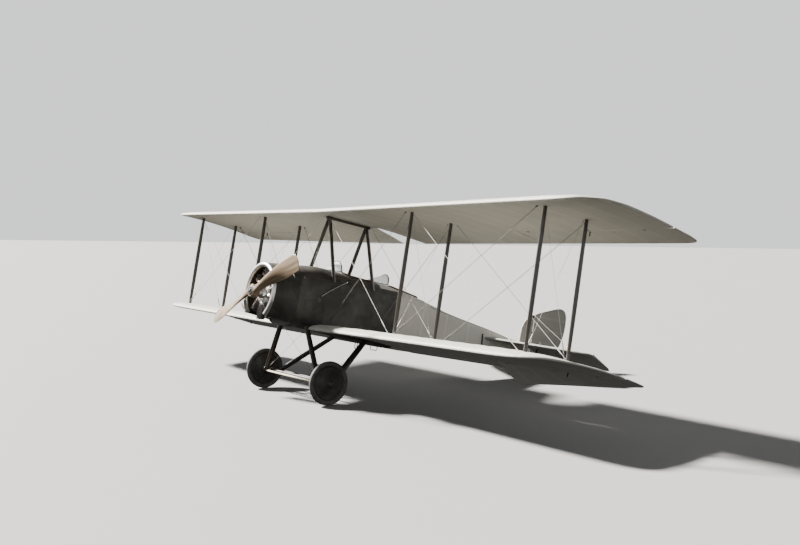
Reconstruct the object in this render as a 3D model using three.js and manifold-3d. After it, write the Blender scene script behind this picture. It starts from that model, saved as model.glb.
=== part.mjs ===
// A two-seat, two-bay biplane of about 1920 with a rotary engine, parked on its wheels and tail skid.
// Millimetres. The aircraft is drawn in its flight frame: +X forward, +Y port, +Z up, with the front
// spar line at x = 0 and the feet of the interplane struts at z = 0. The whole is then pitched nose up
// on to its tail skid, and the origin is the middle of its box, at the ground.
import * as THREE from 'three';
import { mergeVertices } from 'three/addons/utils/BufferGeometryUtils.js';
import Module from 'manifold-3d';

const wasm = await Module();
wasm.setup();

// Driving dimensions
const wingGap = 1700;              // lower strut feet to upper strut tops
const rearSparX = -712;            // the front spar is at x = 0
const strutRake = -44;             // strut feet lie behind their tops
const innerStrutY = 2160;
const outerStrutY = 4755;
const dihedral = 0.5;              // degrees, both wings
const wingChord = 2000;
const leadingEdgeX = 285;
const incidence = 2.8;             // degrees
const upperEdgeZ = wingGap + 18;   // leading edge heights at the centre
const lowerEdgeZ = -94;
const upperSpan = 5705;            // half spans
const lowerSpan = 5320;
const lowerRootY = 405;            // under the rounded lower edge of the body
const aileronHingeX = -1190;
const aileronInnerY = 3060;
const lowerDroop = 22;             // degrees, the inner end of the port lower aileron hangs down
const groundPitch = 11.16;         // degrees nose up when parked

const engineZ = 325;               // thrust line
const fuselageHalf = 459;
const lipX = 1000;                 // front of the cowl
const cowlRearX = 560;
const cowlGapHalf = 42;            // degrees each side of straight down, where the cowl is open
const coverX = -1300;              // dark front covering ends here
const sternX = -4700;
const deckZ = 680;                 // joint between body sides and decking
const wall = 26;

const hubX = 1075;
const propellerRest = 23;          // degrees, port blade above the horizontal
const engineX = 850;
const cylinders = 9;

const wheelRadius = 325;
const wheelSides = 40;
const axleRadius = 21;
const axleBore = 21.7;
const tyreRadius = 40;
const wheelY = 986;
const axleX = 121;
const axleZ = -830;
const legFootY = 800;
const frontFootX = 185;
const rearFootX = -68;

const tailplaneZ = 292;
const elevatorX = -4560;
const elevatorDroop = 22;          // degrees, it hangs down at rest
const rudderX = -4728;

const touch = 0.3;                 // gap between touching pieces
const hingeGap = 22;               // wall to hinge line of a control surface

const degrees = Math.PI / 180;
const groundOffset = Math.sin(groundPitch * degrees) * axleX
  + Math.cos(groundPitch * degrees) * axleZ - wheelRadius;

// Materials
const paint = {
  dark: new THREE.MeshStandardMaterial({ color: 0x35332d, roughness: 0.45, metalness: 0.0 }),
  linen: new THREE.MeshStandardMaterial({ color: 0xcfc5ab, roughness: 0.7, metalness: 0.0 }),
  strut: new THREE.MeshStandardMaterial({ color: 0x3a3128, roughness: 0.45, metalness: 0.0 }),
  wood: new THREE.MeshStandardMaterial({ color: 0x8a6038, roughness: 0.4, metalness: 0.0 }),
  steel: new THREE.MeshStandardMaterial({ color: 0x8d8f90, roughness: 0.35, metalness: 0.9 }),
  rubber: new THREE.MeshStandardMaterial({ color: 0x4a4844, roughness: 0.85, metalness: 0.0 }),
  leather: new THREE.MeshStandardMaterial({ color: 0x4d3322, roughness: 0.6, metalness: 0.0 }),
  glass: new THREE.MeshStandardMaterial({ color: 0xdfe4e2, roughness: 0.1, metalness: 0.0 }),
};

// Solids: closed geometries in and out of the boolean library
function solidOf(geometry) {
  const plain = geometry.clone();
  for (const name of Object.keys(plain.attributes)) {
    if (name !== 'position') plain.deleteAttribute(name);
  }
  const merged = mergeVertices(plain, 1e-3);
  return new wasm.Manifold(new wasm.Mesh({
    numProp: 3,
    vertProperties: new Float32Array(merged.attributes.position.array),
    triVerts: new Uint32Array(merged.index.array),
  }));
}

function geometryOf(solid) {
  const mesh = solid.getMesh();
  const geometry = new THREE.BufferGeometry();
  const position = new Float32Array(mesh.numVert * 3);
  for (let i = 0; i < mesh.numVert; i += 1) {
    for (let k = 0; k < 3; k += 1) position[3 * i + k] = mesh.vertProperties[mesh.numProp * i + k];
  }
  geometry.setAttribute('position', new THREE.BufferAttribute(position, 3));
  geometry.setIndex(new THREE.BufferAttribute(new Uint32Array(mesh.triVerts), 1));
  geometry.computeVertexNormals();
  return geometry;
}

function join(...solids) {
  return solids.reduce((whole, solid) => whole.add(solid));
}

// Cuts a piece back so that it stands a touching gap off its neighbour all round
function seated(solid, neighbour) {
  const shifts = [0, 1, 2].flatMap((axis) => [-touch, touch].map((shift) => {
    const move = [0, 0, 0];
    move[axis] = shift;
    return neighbour.translate(move);
  }));
  return shifts.reduce((rest, shifted) => rest.subtract(shifted), solid);
}

function box(from, to) {
  const geometry = new THREE.BoxGeometry(to[0] - from[0], to[1] - from[1], to[2] - from[2]);
  geometry.translate((from[0] + to[0]) / 2, (from[1] + to[1]) / 2, (from[2] + to[2]) / 2);
  return solidOf(geometry);
}

// A straight bar from p to q whose section is a shape, its x axis turned towards the flight direction
function bar(p, q, shape) {
  const start = new THREE.Vector3(...p);
  const axis = new THREE.Vector3(...q).sub(start);
  const geometry = new THREE.ExtrudeGeometry(shape, { depth: axis.length(), bevelEnabled: false });
  axis.normalize();
  const ahead = Math.abs(axis.x) > 0.9 ? new THREE.Vector3(0, 1, 0) : new THREE.Vector3(1, 0, 0);
  const chordwise = ahead.addScaledVector(axis, -ahead.dot(axis)).normalize();
  const across = new THREE.Vector3().crossVectors(axis, chordwise);
  geometry.applyMatrix4(new THREE.Matrix4().makeBasis(chordwise, across, axis).setPosition(start));
  return solidOf(geometry);
}

function roundSection(radius, sides = 10) {
  const shape = new THREE.Shape();
  for (let i = 0; i < sides; i += 1) {
    const angle = (2 * Math.PI * (i + 0.5)) / sides;
    const point = [radius * Math.cos(angle), radius * Math.sin(angle)];
    if (i === 0) shape.moveTo(...point);
    else shape.lineTo(...point);
  }
  return shape;
}

function rod(p, q, radius, sides) {
  return bar(p, q, roundSection(radius, sides));
}

// Streamlined section, blunt nose forward
function strutSection(chord, thickness) {
  const outline = [[0.5, 0], [0.44, 0.3], [0.3, 0.46], [0.1, 0.5], [-0.2, 0.36], [-0.5, 0]];
  const lower = outline.slice(1, -1).reverse().map(([x, y]) => [x, -y]);
  const points = [...outline, ...lower].map(([x, y]) => new THREE.Vector2(x * chord, y * thickness));
  return new THREE.Shape(points);
}

// A closed skin over rings of points; the end caps are flat in the two given axes
function loft(rings, capAxes) {
  const count = rings[0].length;
  const position = rings.flat(2);
  const index = [];
  for (let i = 0; i + 1 < rings.length; i += 1) {
    for (let j = 0; j < count; j += 1) {
      const a = i * count + j;
      const b = i * count + ((j + 1) % count);
      index.push(a, b, a + count, b, b + count, a + count);
    }
  }
  const contour = (ring) => ring.map((point) => new THREE.Vector2(point[capAxes[0]], point[capAxes[1]]));
  const first = contour(rings[0]);
  const turn = THREE.ShapeUtils.area(first) > 0 ? 1 : -1;
  for (const [ring, offset, flip] of [[rings[0], 0, 1], [rings.at(-1), (rings.length - 1) * count, -1]]) {
    for (const face of THREE.ShapeUtils.triangulateShape(contour(ring), [])) {
      const [a, b, c] = orderedFace(face, contour(ring), turn * flip).map((i) => i + offset);
      index.push(a, c, b);
    }
  }
  if (signedVolume(position, index) < 0) {
    for (let i = 0; i < index.length; i += 3) [index[i], index[i + 1]] = [index[i + 1], index[i]];
  }
  const geometry = new THREE.BufferGeometry();
  geometry.setAttribute('position', new THREE.Float32BufferAttribute(position, 3));
  geometry.setIndex(index);
  return solidOf(geometry);
}

function orderedFace(face, points, turn) {
  const [a, b, c] = face.map((i) => points[i]);
  const area = (b.x - a.x) * (c.y - a.y) - (c.x - a.x) * (b.y - a.y);
  return area * turn > 0 ? face : [face[0], face[2], face[1]];
}

function signedVolume(position, index) {
  let volume = 0;
  const corner = (i) => new THREE.Vector3(position[3 * i], position[3 * i + 1], position[3 * i + 2]);
  for (let i = 0; i < index.length; i += 3) {
    volume += corner(index[i]).dot(corner(index[i + 1]).cross(corner(index[i + 2])));
  }
  return volume;
}

// An upright prism over a plan outline of [x, y] points, or across the aircraft over [x, z] points
function prismUp(outline, from, to) {
  const shape = new THREE.Shape(outline.map(([x, y]) => new THREE.Vector2(x, y)));
  const geometry = new THREE.ExtrudeGeometry(shape, { depth: to - from, bevelEnabled: false });
  geometry.translate(0, 0, from);
  return solidOf(geometry);
}

function plateAcross(outline, thickness, bevel) {
  const shape = new THREE.Shape(outline.map(([x, z]) => new THREE.Vector2(x, z)));
  const geometry = new THREE.ExtrudeGeometry(shape, {
    depth: thickness - 2 * bevel,
    bevelEnabled: bevel > 0,
    bevelSegments: 1,
    bevelThickness: bevel,
    bevelSize: bevel,
    bevelOffset: -bevel,
  });
  geometry.translate(0, 0, bevel - thickness / 2);
  geometry.rotateX(Math.PI / 2);
  return solidOf(geometry);
}

function lathed(profile, segments, axis) {
  const points = [...profile, profile[0]].map(([radius, along]) => new THREE.Vector2(radius, along));
  const geometry = new THREE.LatheGeometry(points, segments);
  if (axis === 'x') geometry.rotateZ(-Math.PI / 2);
  if (axis === 'z') geometry.rotateX(Math.PI / 2);
  return solidOf(geometry);
}

function row(table, x) {
  const at = table.findIndex((entry) => entry[0] <= x);
  if (at <= 0) return table[at === 0 ? 0 : table.length - 1];
  const [high, low] = [table[at - 1], table[at]];
  const share = (x - low[0]) / (high[0] - low[0]);
  return low.map((value, i) => value + share * (high[i] - value));
}

// Wings
// Wing section: chord fraction, camber line, half thickness, as fractions of the chord
const wingSection = [
  [0, 0.0, 0.0], [0.0125, 0.005, 0.015], [0.05, 0.0145, 0.0225], [0.1, 0.024, 0.028],
  [0.2, 0.033, 0.029], [0.35, 0.038, 0.026], [0.5, 0.037, 0.021], [0.65, 0.03, 0.015],
  [0.8, 0.019, 0.009], [0.92, 0.008, 0.005], [1, 0.0, 0.0018],
];
// Wing tips: distance in from the half span, leading edge x, trailing edge x, thickness share
const tipStations = {
  upper: [
    [840, 285, -1715, 1], [505, 275, -1715, 0.88], [305, 215, -1715, 0.7], [193, 110, -1712, 0.56],
    [102, 10, -1695, 0.42], [71, -102, -1680, 0.36], [47, -300, -1665, 0.3], [36, -800, -1650, 0.24],
    [15, -1300, -1615, 0.15], [0, -1450, -1560, 0.1],
  ],
  lower: [
    [840, 285, -1715, 1], [500, 262, -1715, 0.88], [290, 185, -1705, 0.66], [160, 30, -1670, 0.42],
    [85, -420, -1610, 0.26], [30, -900, -1550, 0.16], [0, -1240, -1480, 0.1],
  ],
};

function camberAt(x) {
  const fraction = Math.min(1, Math.max(0, (leadingEdgeX - x) / wingChord));
  const at = Math.max(1, wingSection.findIndex((entry) => entry[0] >= fraction));
  const [a, b] = [wingSection[at - 1], wingSection[at]];
  return wingChord * (a[1] + ((fraction - a[0]) / (b[0] - a[0])) * (b[1] - a[1]));
}

function camberZ(x, y, edgeZ) {
  const slope = Math.tan(incidence * degrees) * (leadingEdgeX - x);
  return edgeZ - slope + camberAt(x) + Math.abs(y) * Math.tan(dihedral * degrees);
}

function wingRing(y, frontX, backX, share, edgeZ) {
  const chord = frontX - backX;
  const point = ([fraction, , half], sign) => {
    const x = frontX - fraction * chord;
    return [x, y, camberZ(x, y, edgeZ) + sign * half * share * wingChord];
  };
  const top = wingSection.map((entry) => point(entry, 1)).reverse();
  const bottom = wingSection.slice(1).map((entry) => point(entry, -1));
  return [...top, ...bottom];
}

function wingWhole(side, rootY, span, edgeZ, tip) {
  const rings = [wingRing(side * rootY, leadingEdgeX, leadingEdgeX - wingChord, 1, edgeZ)];
  for (const [inset, frontX, backX, share] of tip) {
    rings.push(wingRing(side * (span - inset), frontX, backX, share, edgeZ));
  }
  return loft(rings, [0, 2]);
}

// Hinge stations of one control surface along its line
function hingeKnuckles(stations, width, at, reach) {
  return join(...stations.map((y) => {
    const [x, z] = at(y);
    const knuckle = rod([x, y - width / 2, z], [x, y + width / 2, z], 10, 10);
    return knuckle.add(box([x, y - width / 2, z - 8], [x + reach, y + width / 2, z + 8]));
  }));
}

function hingeNotches(stations, width, at) {
  return join(...stations.map((y) => {
    const [x, z] = at(y);
    const half = width / 2 + touch;
    return rod([x, y - half, z], [x, y + half, z], 17, 12);
  }));
}

function aileronStations(side, span) {
  return [aileronInnerY + 240, (aileronInnerY + span) / 2, span - 420].map((y) => side * y);
}

function buildWing(side, upper, body) {
  const span = upper ? upperSpan : lowerSpan;
  const edgeZ = upper ? upperEdgeZ : lowerEdgeZ;
  const rootY = upper ? touch / 2 : lowerRootY;
  const spread = wingWhole(side, rootY, span, edgeZ, upper ? tipStations.upper : tipStations.lower);
  const whole = upper ? spread : seated(spread, body);
  const hinge = (y) => [aileronHingeX, camberZ(aileronHingeX, y, edgeZ)];
  const reachIn = side > 0 ? [aileronInnerY - 12, span + 50] : [-span - 50, -aileronInnerY + 12];
  const bay = box([-2500, reachIn[0], -2000], [aileronHingeX + hingeGap, reachIn[1], 3000]);
  const knuckles = hingeKnuckles(aileronStations(side, span), 24, hinge, hingeGap + 12);
  let panel = whole.subtract(bay).add(knuckles);
  if (upper) panel = panel.subtract(centreCut());
  const flapY = side > 0 ? [aileronInnerY, span + 50] : [-span - 50, -aileronInnerY];
  const flapBox = box([-2500, flapY[0], -2000], [aileronHingeX, flapY[1], 3000]);
  let flap = whole.intersect(flapBox);
  if (!upper && side > 0) flap = drooped(flap, span, edgeZ);
  flap = flap.subtract(hingeNotches(aileronStations(side, span), 24, hinge));
  return { panel, flap, whole };
}

// The cut-out over the pilots' heads: a trapezium that widens to the trailing edge
function centreCut() {
  return prismUp([[-860, -110], [-860, 110], [-1800, 330], [-1800, -330]], 1400, 2000);
}

// The port lower aileron has a slack cable: it hangs by its outer end, and its inner end droops
function drooped(flap, span, edgeZ) {
  return flap.warp((vert) => {
    const share = 1 - (Math.abs(vert[1]) - aileronInnerY) / (span - 250 - aileronInnerY);
    const angle = -lowerDroop * degrees * Math.min(1, Math.max(0, share));
    const hingeZ = camberZ(aileronHingeX, vert[1], edgeZ);
    const dx = vert[0] - aileronHingeX;
    const dz = vert[2] - hingeZ;
    vert[0] = aileronHingeX + dx * Math.cos(angle) + dz * Math.sin(angle);
    vert[2] = hingeZ - dx * Math.sin(angle) + dz * Math.cos(angle);
  });
}

// Fuselage
// Body stations: x, half width, bottom, widest height, crest, upper and lower roundness exponents
const bodyStations = [
  [1000, 447, -122, 325, 772, 2, 2], [800, 459, -134, 325, 800, 2.1, 2.2],
  [560, 459, -112, 325, 822, 2.6, 3.2], [144, 459, -104, 325, 872, 3.2, 6],
  [-340, 459, -122, 325, 858, 3.4, 9], [-900, 459, -166, 320, 832, 3.4, 9],
  [-1300, 450, -180, 310, 806, 3.6, 9], [-1750, 395, -187, 290, 730, 5, 9],
  [-2000, 364, -155, 280, 640, 8, 9], [-2600, 290, -87, 262, 562, 9, 9],
  [-3550, 174, 20, 235, 449, 9, 9], [-4150, 100, 88, 225, 357, 9, 9], [-4700, 32, 150, 220, 290, 9, 9],
];
const bodySides = 36;

function bodyRing(x, inset = 0, stations = bodyStations) {
  const [, half, bottom, middle, crest, upperPower, lowerPower] = row(stations, x);
  const ring = [];
  for (let i = 0; i < bodySides; i += 1) {
    const angle = (2 * Math.PI * i) / bodySides;
    const [c, s] = [Math.cos(angle), Math.sin(angle)];
    const power = s >= 0 ? upperPower : lowerPower;
    const reach = (s >= 0 ? crest - middle : middle - bottom) - inset;
    const scale = (Math.abs(c) ** power + Math.abs(s) ** power) ** (-1 / power);
    ring.push([x, (half - inset) * c * scale, middle + reach * s * scale]);
  }
  return ring;
}

function bodyLoft(frontX, rearX, inset = 0, stations = bodyStations) {
  const inner = stations.map((entry) => entry[0]).filter((x) => x < frontX - 5 && x > rearX + 5);
  return loft([frontX, ...inner, rearX].map((x) => bodyRing(x, inset, stations)), [1, 2]);
}

function above(z) {
  return box([-6000, -1000, z], [3000, 1000, 3000]);
}

function below(z) {
  return box([-6000, -1000, -3000], [3000, 1000, z]);
}

// Cockpit openings: front x, rear x, half width
const cockpits = [[-290, -850, 285], [-1235, -1790, 270]];

function cockpitCut([frontX, rearX, half], fromZ) {
  const round = 110;
  const outline = [
    [frontX, -half + round], [frontX, half - round], [frontX - round, half], [rearX + round, half],
    [rearX, half - round], [rearX, -half + round], [rearX + round, -half], [frontX - round, -half],
  ];
  return prismUp(outline, fromZ, 1100);
}

function buildFuselage() {
  const frontOuter = bodyLoft(cowlRearX, coverX + touch);
  const frontInner = bodyLoft(cowlRearX + 1, coverX - 1, wall);
  const frontShell = frontOuter.subtract(frontInner);
  const rearSolid = bodyLoft(coverX, sternX);
  const cavity = bodyLoft(coverX + 1, -1900, wall);
  const rearShell = rearSolid.subtract(cavity);
  const tunnel = rod([elevatorX, -300, tailplaneZ], [elevatorX, 300, tailplaneZ], 26, 14);
  const openings = cockpits.map((entry) => cockpitCut(entry, deckZ - 40));
  const openTop = join(...openings);
  const rearDeckEnd = -1980;
  const rearDeckZone = box([rearDeckEnd, -1000, deckZ + touch], [coverX + 1, 1000, 3000]);
  const rearTub = rearShell.subtract(box([-6000, -1000, deckZ], [coverX + 1, 1000, 3000]));
  const sternKnuckle = hingeUpright([175], 24);
  return {
    frontShell,
    front: frontShell.intersect(below(deckZ)),
    deckFront: frontShell.intersect(above(deckZ + touch)).subtract(openTop),
    rear: rearTub.subtract(tunnel).add(sternKnuckle),
    deckRear: join(rearShell.intersect(rearDeckZone), headrest()).subtract(openTop),
    outline: bodyLoft(cowlRearX, sternX),
  };
}

// Headrest fairing behind the rear cockpit: x, half width, top, base
const headrestStations = [
  [-1785, 235, 740], [-1900, 200, 726], [-2100, 150, 694], [-2350, 90, 652], [-2600, 30, 600],
];

function headrest() {
  const rings = headrestStations.map(([x, half, top]) => {
    const base = row(bodyStations, x)[4] + touch;
    const floorZ = x > -1990 ? deckZ + touch : base;
    const ring = [];
    for (let i = 0; i <= 8; i += 1) {
      const angle = (Math.PI * i) / 8;
      ring.push([x, half * Math.cos(angle), floorZ + (top - floorZ) * Math.sin(angle) ** 0.8]);
    }
    return ring;
  });
  return loft(rings, [1, 2]);
}

// Horseshoe cowl: a shell open below, with a rolled lip
function buildCowl() {
  const outer = bodyLoft(lipX - 24, cowlRearX + touch);
  const inner = bodyLoft(lipX + 1, cowlRearX - 1, 18);
  const lipRing = lathed(circle(34, 424, 0, 10), bodySides, 'x').translate([lipX - 24, 0, engineZ]);
  const spread = 620 * Math.tan(cowlGapHalf * degrees);
  const wedge = thrustPrism([[0, 0], [spread, -620], [-spread, -620]], cowlRearX - 10, lipX + 60);
  return outer.subtract(inner).add(lipRing).subtract(wedge);
}

function circle(radius, centre, along, sides) {
  return Array.from({ length: sides }, (_, i) => {
    const angle = (2 * Math.PI * i) / sides;
    return [centre + radius * Math.cos(angle), along + radius * Math.sin(angle)];
  });
}

// A prism along the thrust line over [y, z] points measured from it
function thrustPrism(outline, fromX, toX) {
  const rings = [fromX, toX].map((x) => outline.map(([y, z]) => [x, y, engineZ + z]));
  return loft(rings, [1, 2]);
}

function buildFirewall(shell) {
  const plate = seated(bodyLoft(cowlRearX - touch, cowlRearX - 16, wall / 2), shell);
  const stub = rod([cowlRearX - 10, 0, engineZ], [engineX - 75 - touch, 0, engineZ], 60, 16);
  const cone = lathed([[0, 0], [230, 0], [90, 110], [0, 110]], 20, 'x');
  return join(plate, stub, cone.translate([cowlRearX - 10, 0, engineZ]));
}

function buildFloor(shell) {
  const half = 600;
  const board = loft([[520, -60], [-1290, -124]].map(([x, z]) => [
    [x, -half, z], [x, half, z], [x, half, z + 18], [x, -half, z + 18]]), [1, 2]);
  return seated(board.intersect(bodyLoft(530, -1295, wall / 2)), shell);
}

// A bucket seat: front x of the pan, height inside the floor's thickness, height of the pan
function buildSeat(x, floorZ, panZ, carrier) {
  const pan = box([x - 400, -205, panZ], [x, 205, panZ + 30]);
  const back = box([x - 425, -205, panZ], [x - 395, 205, panZ + 400]);
  const cheeks = [-1, 1].map((side) => {
    const y = side * 190;
    return box([x - 400, y - 15, panZ], [x - 80, y + 15, panZ + 170]);
  });
  const pedestal = box([x - 340, -150, floorZ], [x - 60, 150, panZ + 5]);
  return seated(join(pan, back, ...cheeks, pedestal), carrier);
}

// Windscreen: a half cone of thin sheet, open to the rear, that stands on the decking. Tip x at the
// front, x of the rear hoop's foot and of its top, half width, height of the top
function buildWindscreen([tipX, footX, topX, half, topZ], body) {
  const baseZ = deckZ - 40;
  const crest = row(bodyStations, tipX)[4];
  const steps = 10;
  const rings = [[0.02, 0.1], [0.45, 0.66], [1, 1]].map(([share, width]) => {
    const peak = crest + 14 + share * (topZ - crest - 14);
    const ring = [];
    for (let i = 0; i <= steps; i += 1) {
      const angle = (Math.PI * i) / steps;
      const rise = Math.sin(angle) ** 0.8;
      const x = tipX + share * (footX - tipX) + share * (topX - footX) * rise;
      ring.push([x, half * width * Math.cos(angle), baseZ + (peak - baseZ) * rise]);
    }
    return ring;
  });
  const outer = loft(rings, [1, 2]);
  const inner = outer.scale([1, 0.965, 1]).translate([-9, 0, -6]);
  return seated(outer.subtract(inner), body);
}

// Rotary engine on its turning crankcase
function buildEngine() {
  const caseX = engineX - 75;
  const crankcase = lathed([[0, 0], [150, 0], [172, 22], [172, 128], [150, 150], [0, 150]], 36, 'x');
  const noseX = engineX + 60;
  const reach = hubX - 57 - touch - noseX;
  const nose = lathed([[0, 0], [95, 0], [95, 40], [62, 66], [62, reach], [0, reach]], 24, 'x');
  const solids = [crankcase.translate([caseX, 0, engineZ]), nose.translate([noseX, 0, engineZ])];
  const barrel = lathed([[0, 140], [58, 140], [58, 175], [66, 185], [66, 350], [58, 365], [58, 392], [30, 405],
    [0, 405]], 12, 'z');
  for (let i = 0; i < cylinders; i += 1) {
    solids.push(barrel.rotate([(360 * i) / cylinders + 10, 0, 0]).translate([engineX, 0, engineZ]));
  }
  return join(...solids);
}

// Blade stations: radius, chord, thickness, blade angle in degrees, sweep of the mid chord
const bladeStations = [
  [40, 112, 96, 62, 0], [140, 118, 88, 56, 0], [280, 132, 60, 47, 6], [450, 166, 44, 38, 8],
  [700, 224, 32, 26, 6], [930, 256, 24, 18, 2], [1100, 258, 18, 15, 0], [1190, 230, 13, 14, -4],
  [1240, 150, 10, 13, -8], [1258, 70, 8, 13, -12],
];

function bladeRing([radius, chord, thickness, angle, sweep]) {
  const outline = [[0.5, 0], [0.36, 0.55], [0.1, 0.8], [-0.2, 0.62], [-0.5, 0.04], [-0.2, -0.18], [0.1, -0.22],
    [0.36, -0.2]];
  const [c, s] = [Math.cos(angle * degrees), Math.sin(angle * degrees)];
  return outline.map(([along, out]) => {
    const across = along * chord + sweep;
    const deep = out * thickness;
    return [across * s + deep * c, radius, across * c - deep * s];
  });
}

function buildPropeller() {
  const blade = loft(bladeStations.map(bladeRing), [0, 2]);
  const boss = lathed([[0, -57], [92, -57], [100, -40], [100, 40], [92, 57], [0, 57]], 28, 'x');
  const flange = lathed([[0, 57], [72, 57], [72, 64], [30, 68], [30, 84], [0, 84]], 24, 'x');
  const whole = join(boss, flange, blade, blade.rotate([180, 0, 0]));
  return whole.rotate([propellerRest, 0, 0]).translate([hubX, 0, engineZ]);
}

// Undercarriage
function buildWheel(side) {
  const tyre = lathed(circle(tyreRadius, wheelRadius - tyreRadius, 0, 10), wheelSides, 'y');
  const rim = wheelRadius - 2 * tyreRadius - touch;
  const disc = lathed([[axleBore, -78], [44, -78], [60, -66], [rim - 12, -24], [rim, -18], [rim, 18], [rim - 12, 24],
    [60, 66], [44, 78], [axleBore, 78]], wheelSides, 'y');
  const place = [axleX, side * wheelY, axleZ];
  return { tyre: tyre.translate(place), disc: disc.translate(place) };
}

function buildAxleFrame() {
  const plates = [-1, 1].map((side) => {
    const outline = [[rearFootX - 60, axleZ - 18], [axleX - 40, axleZ - 54], [frontFootX + 60, axleZ - 50],
      [frontFootX + 60, axleZ + 38], [rearFootX - 60, axleZ + 38]];
    return plateAcross(outline, 44, 0).translate([0, side * legFootY, 0]);
  });
  const axle = rod([axleX, -wheelY - 104, axleZ], [axleX, wheelY + 104, axleZ], axleRadius, 14);
  const caps = [-1, 1].map((side) => rod(
    [axleX, side * (wheelY + 80), axleZ], [axleX, side * (wheelY + 100), axleZ], 34, 16));
  const spreaders = [[frontFootX, -25], [rearFootX, 8]].map(([x, rise]) => rod(
    [x, -legFootY, axleZ + rise], [x, legFootY, axleZ + rise], 19, 10));
  return join(...plates, axle, ...caps, ...spreaders);
}

// Legs: foot x, head x, head z, head y, section
const legTable = {
  front: [frontFootX, 300, -60, 390, strutSection(96, 44)],
  rear: [rearFootX, -765, -120, 440, strutSection(98, 46)],
};

function buildLeg(side, [footX, headX, headZ, headY, section], carriers) {
  const head = [headX, side * headY, headZ];
  const foot = [footX, side * legFootY, axleZ + 10];
  const leg = bar(foot, head, section);
  return carriers.reduce(seated, leg);
}

// Half depths of the wing section along the chord: x, half depth
const halfDepths = [[285, 0], [85, 56], [-115, 58], [-415, 52], [-715, 42], [-1015, 30]];

// Cabane: inverted vees whose apexes carry the ridge bar under the wing's middle
function cabaneApexZ(x) {
  return camberZ(x, 0, upperEdgeZ) - row(halfDepths, x)[1] - 34;
}

function buildRidge(wings) {
  const ends = [60, rearSparX - 60].map((x) => [x, 0, cabaneApexZ(x) + 14]);
  return seated(rod(ends[0], ends[1], 23, 12), wings);
}

function buildCabaneLeg(side, topX, footX, footZ, ridge, body) {
  const leg = bar([footX, side * 425, footZ], [topX, side * 14, cabaneApexZ(topX)], strutSection(70, 36));
  const half = side > 0 ? box([-3000, touch / 2, -1000], [3000, 2000, 3000])
    : box([-3000, -2000, -1000], [3000, -touch / 2, 3000]);
  const clear = ridge.translate([0, 0, -touch]).add(ridge);
  return leg.intersect(half).subtract(clear).subtract(body.translate([0, 0, touch]));
}

// Interplane struts and the crossed stays of each strut plane
function strutEnd(x, y, edgeZ) {
  return [x, y, camberZ(x, y, edgeZ)];
}

function trimmed(solid, wings) {
  return solid.subtract(wings.upper.translate([0, 0, -touch])).subtract(wings.lower.translate([0, 0, touch]));
}

function buildStrut(side, x, y, wings) {
  const foot = strutEnd(x + strutRake, side * y, lowerEdgeZ);
  const head = strutEnd(x, side * y, upperEdgeZ);
  return trimmed(bar(foot, head, strutSection(74, 36)), wings);
}

function buildStays(side, x, wings) {
  const offset = x === 0 ? 62 : -62;
  const clear = 62;
  const at = (y, edgeZ) => {
    const rake = edgeZ === lowerEdgeZ ? strutRake : 0;
    return [x + rake + offset, side * y, camberZ(x + rake, y, edgeZ)];
  };
  // Lower inner end, upper inner end (beside the cabane's apex in the inner bay), outer ends
  const bays = [
    [fuselageHalf + 40, 44, innerStrutY - clear],
    [innerStrutY + clear, innerStrutY + clear, outerStrutY - clear],
  ];
  const crossed = bays.map(([lowY, highY, outY]) => join(
    rod(at(lowY, lowerEdgeZ), at(outY, upperEdgeZ), 4.5, 6),
    rod(at(highY, upperEdgeZ), at(outY, lowerEdgeZ), 4, 6)));
  return crossed.map((solid) => trimmed(solid, wings));
}

// Tail
function planRing(y, frontX, backX, thickness) {
  const outline = [[0, 0], [0.03, 0.6], [0.15, 1], [0.5, 0.9], [1, 0.62]];
  const at = (fraction, z) => [frontX + fraction * (backX - frontX), y, tailplaneZ + z * thickness / 2];
  return [...outline.map(([f, z]) => at(f, z)), ...outline.slice(1).reverse().map(([f, z]) => at(f, -z))];
}

// Tailplane stations: y, leading edge x, thickness
const tailStations = [
  [0, -3280, 64], [1450, -4262, 52], [1620, -4400, 40], [1680, -4440, 30], [1700, -4490, 22],
];

function buildTailplane(side) {
  const rings = tailStations.map(([y, frontX, deep]) => planRing(side * y, frontX, elevatorX + hingeGap, deep));
  const body = prismUp([
    ...[-3000, -3550, -4150, -4700].map((x) => [x, row(bodyStations, x)[1] + touch]),
    ...[-4700, -4150, -3550, -3000].map((x) => [x, -row(bodyStations, x)[1] - touch]),
  ].reverse(), -100, 900);
  const hinge = () => [elevatorX, tailplaneZ];
  const stations = elevatorHinges(side);
  return loft(rings, [0, 2]).subtract(body).add(hingeKnuckles(stations, 24, hinge, hingeGap + 12));
}

function elevatorHinges(side) {
  return [420, 1000, 1560].map((y) => side * y);
}

// Elevator half: y, trailing edge x
const elevatorPlan = [
  [74, -4700], [290, -5110], [420, -5140], [1540, -5145], [1640, -5132], [1685, -5090], [1700, -5030],
];

function buildElevator() {
  const halves = [-1, 1].map((side) => {
    const rings = elevatorPlan.map(([y, backX]) => {
      const outline = [[0, 0.9], [0.3, 0.7], [1, 0.2]];
      const at = (f, z) => [elevatorX + f * (backX - elevatorX), side * y, tailplaneZ + z * 18];
      return [...outline.map(([f, z]) => at(f, z)), ...outline.slice().reverse().map(([f, z]) => at(f, -z))];
    });
    return loft(rings, [0, 2]).subtract(
      hingeNotches(elevatorHinges(side), 24, () => [elevatorX, tailplaneZ]));
  });
  const tube = rod([elevatorX, -90, tailplaneZ], [elevatorX, 90, tailplaneZ], 15, 12);
  const webs = [-1, 1].map((side) => box([elevatorX - 30, Math.min(74 * side, 90 * side), tailplaneZ - 12],
    [elevatorX, Math.max(74 * side, 90 * side), tailplaneZ + 12]));
  const flat = join(...halves, tube, ...webs);
  const turned = flat.translate([-elevatorX, 0, -tailplaneZ]).rotate([0, -elevatorDroop, 0]);
  return turned.translate([elevatorX, 0, tailplaneZ]);
}

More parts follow.
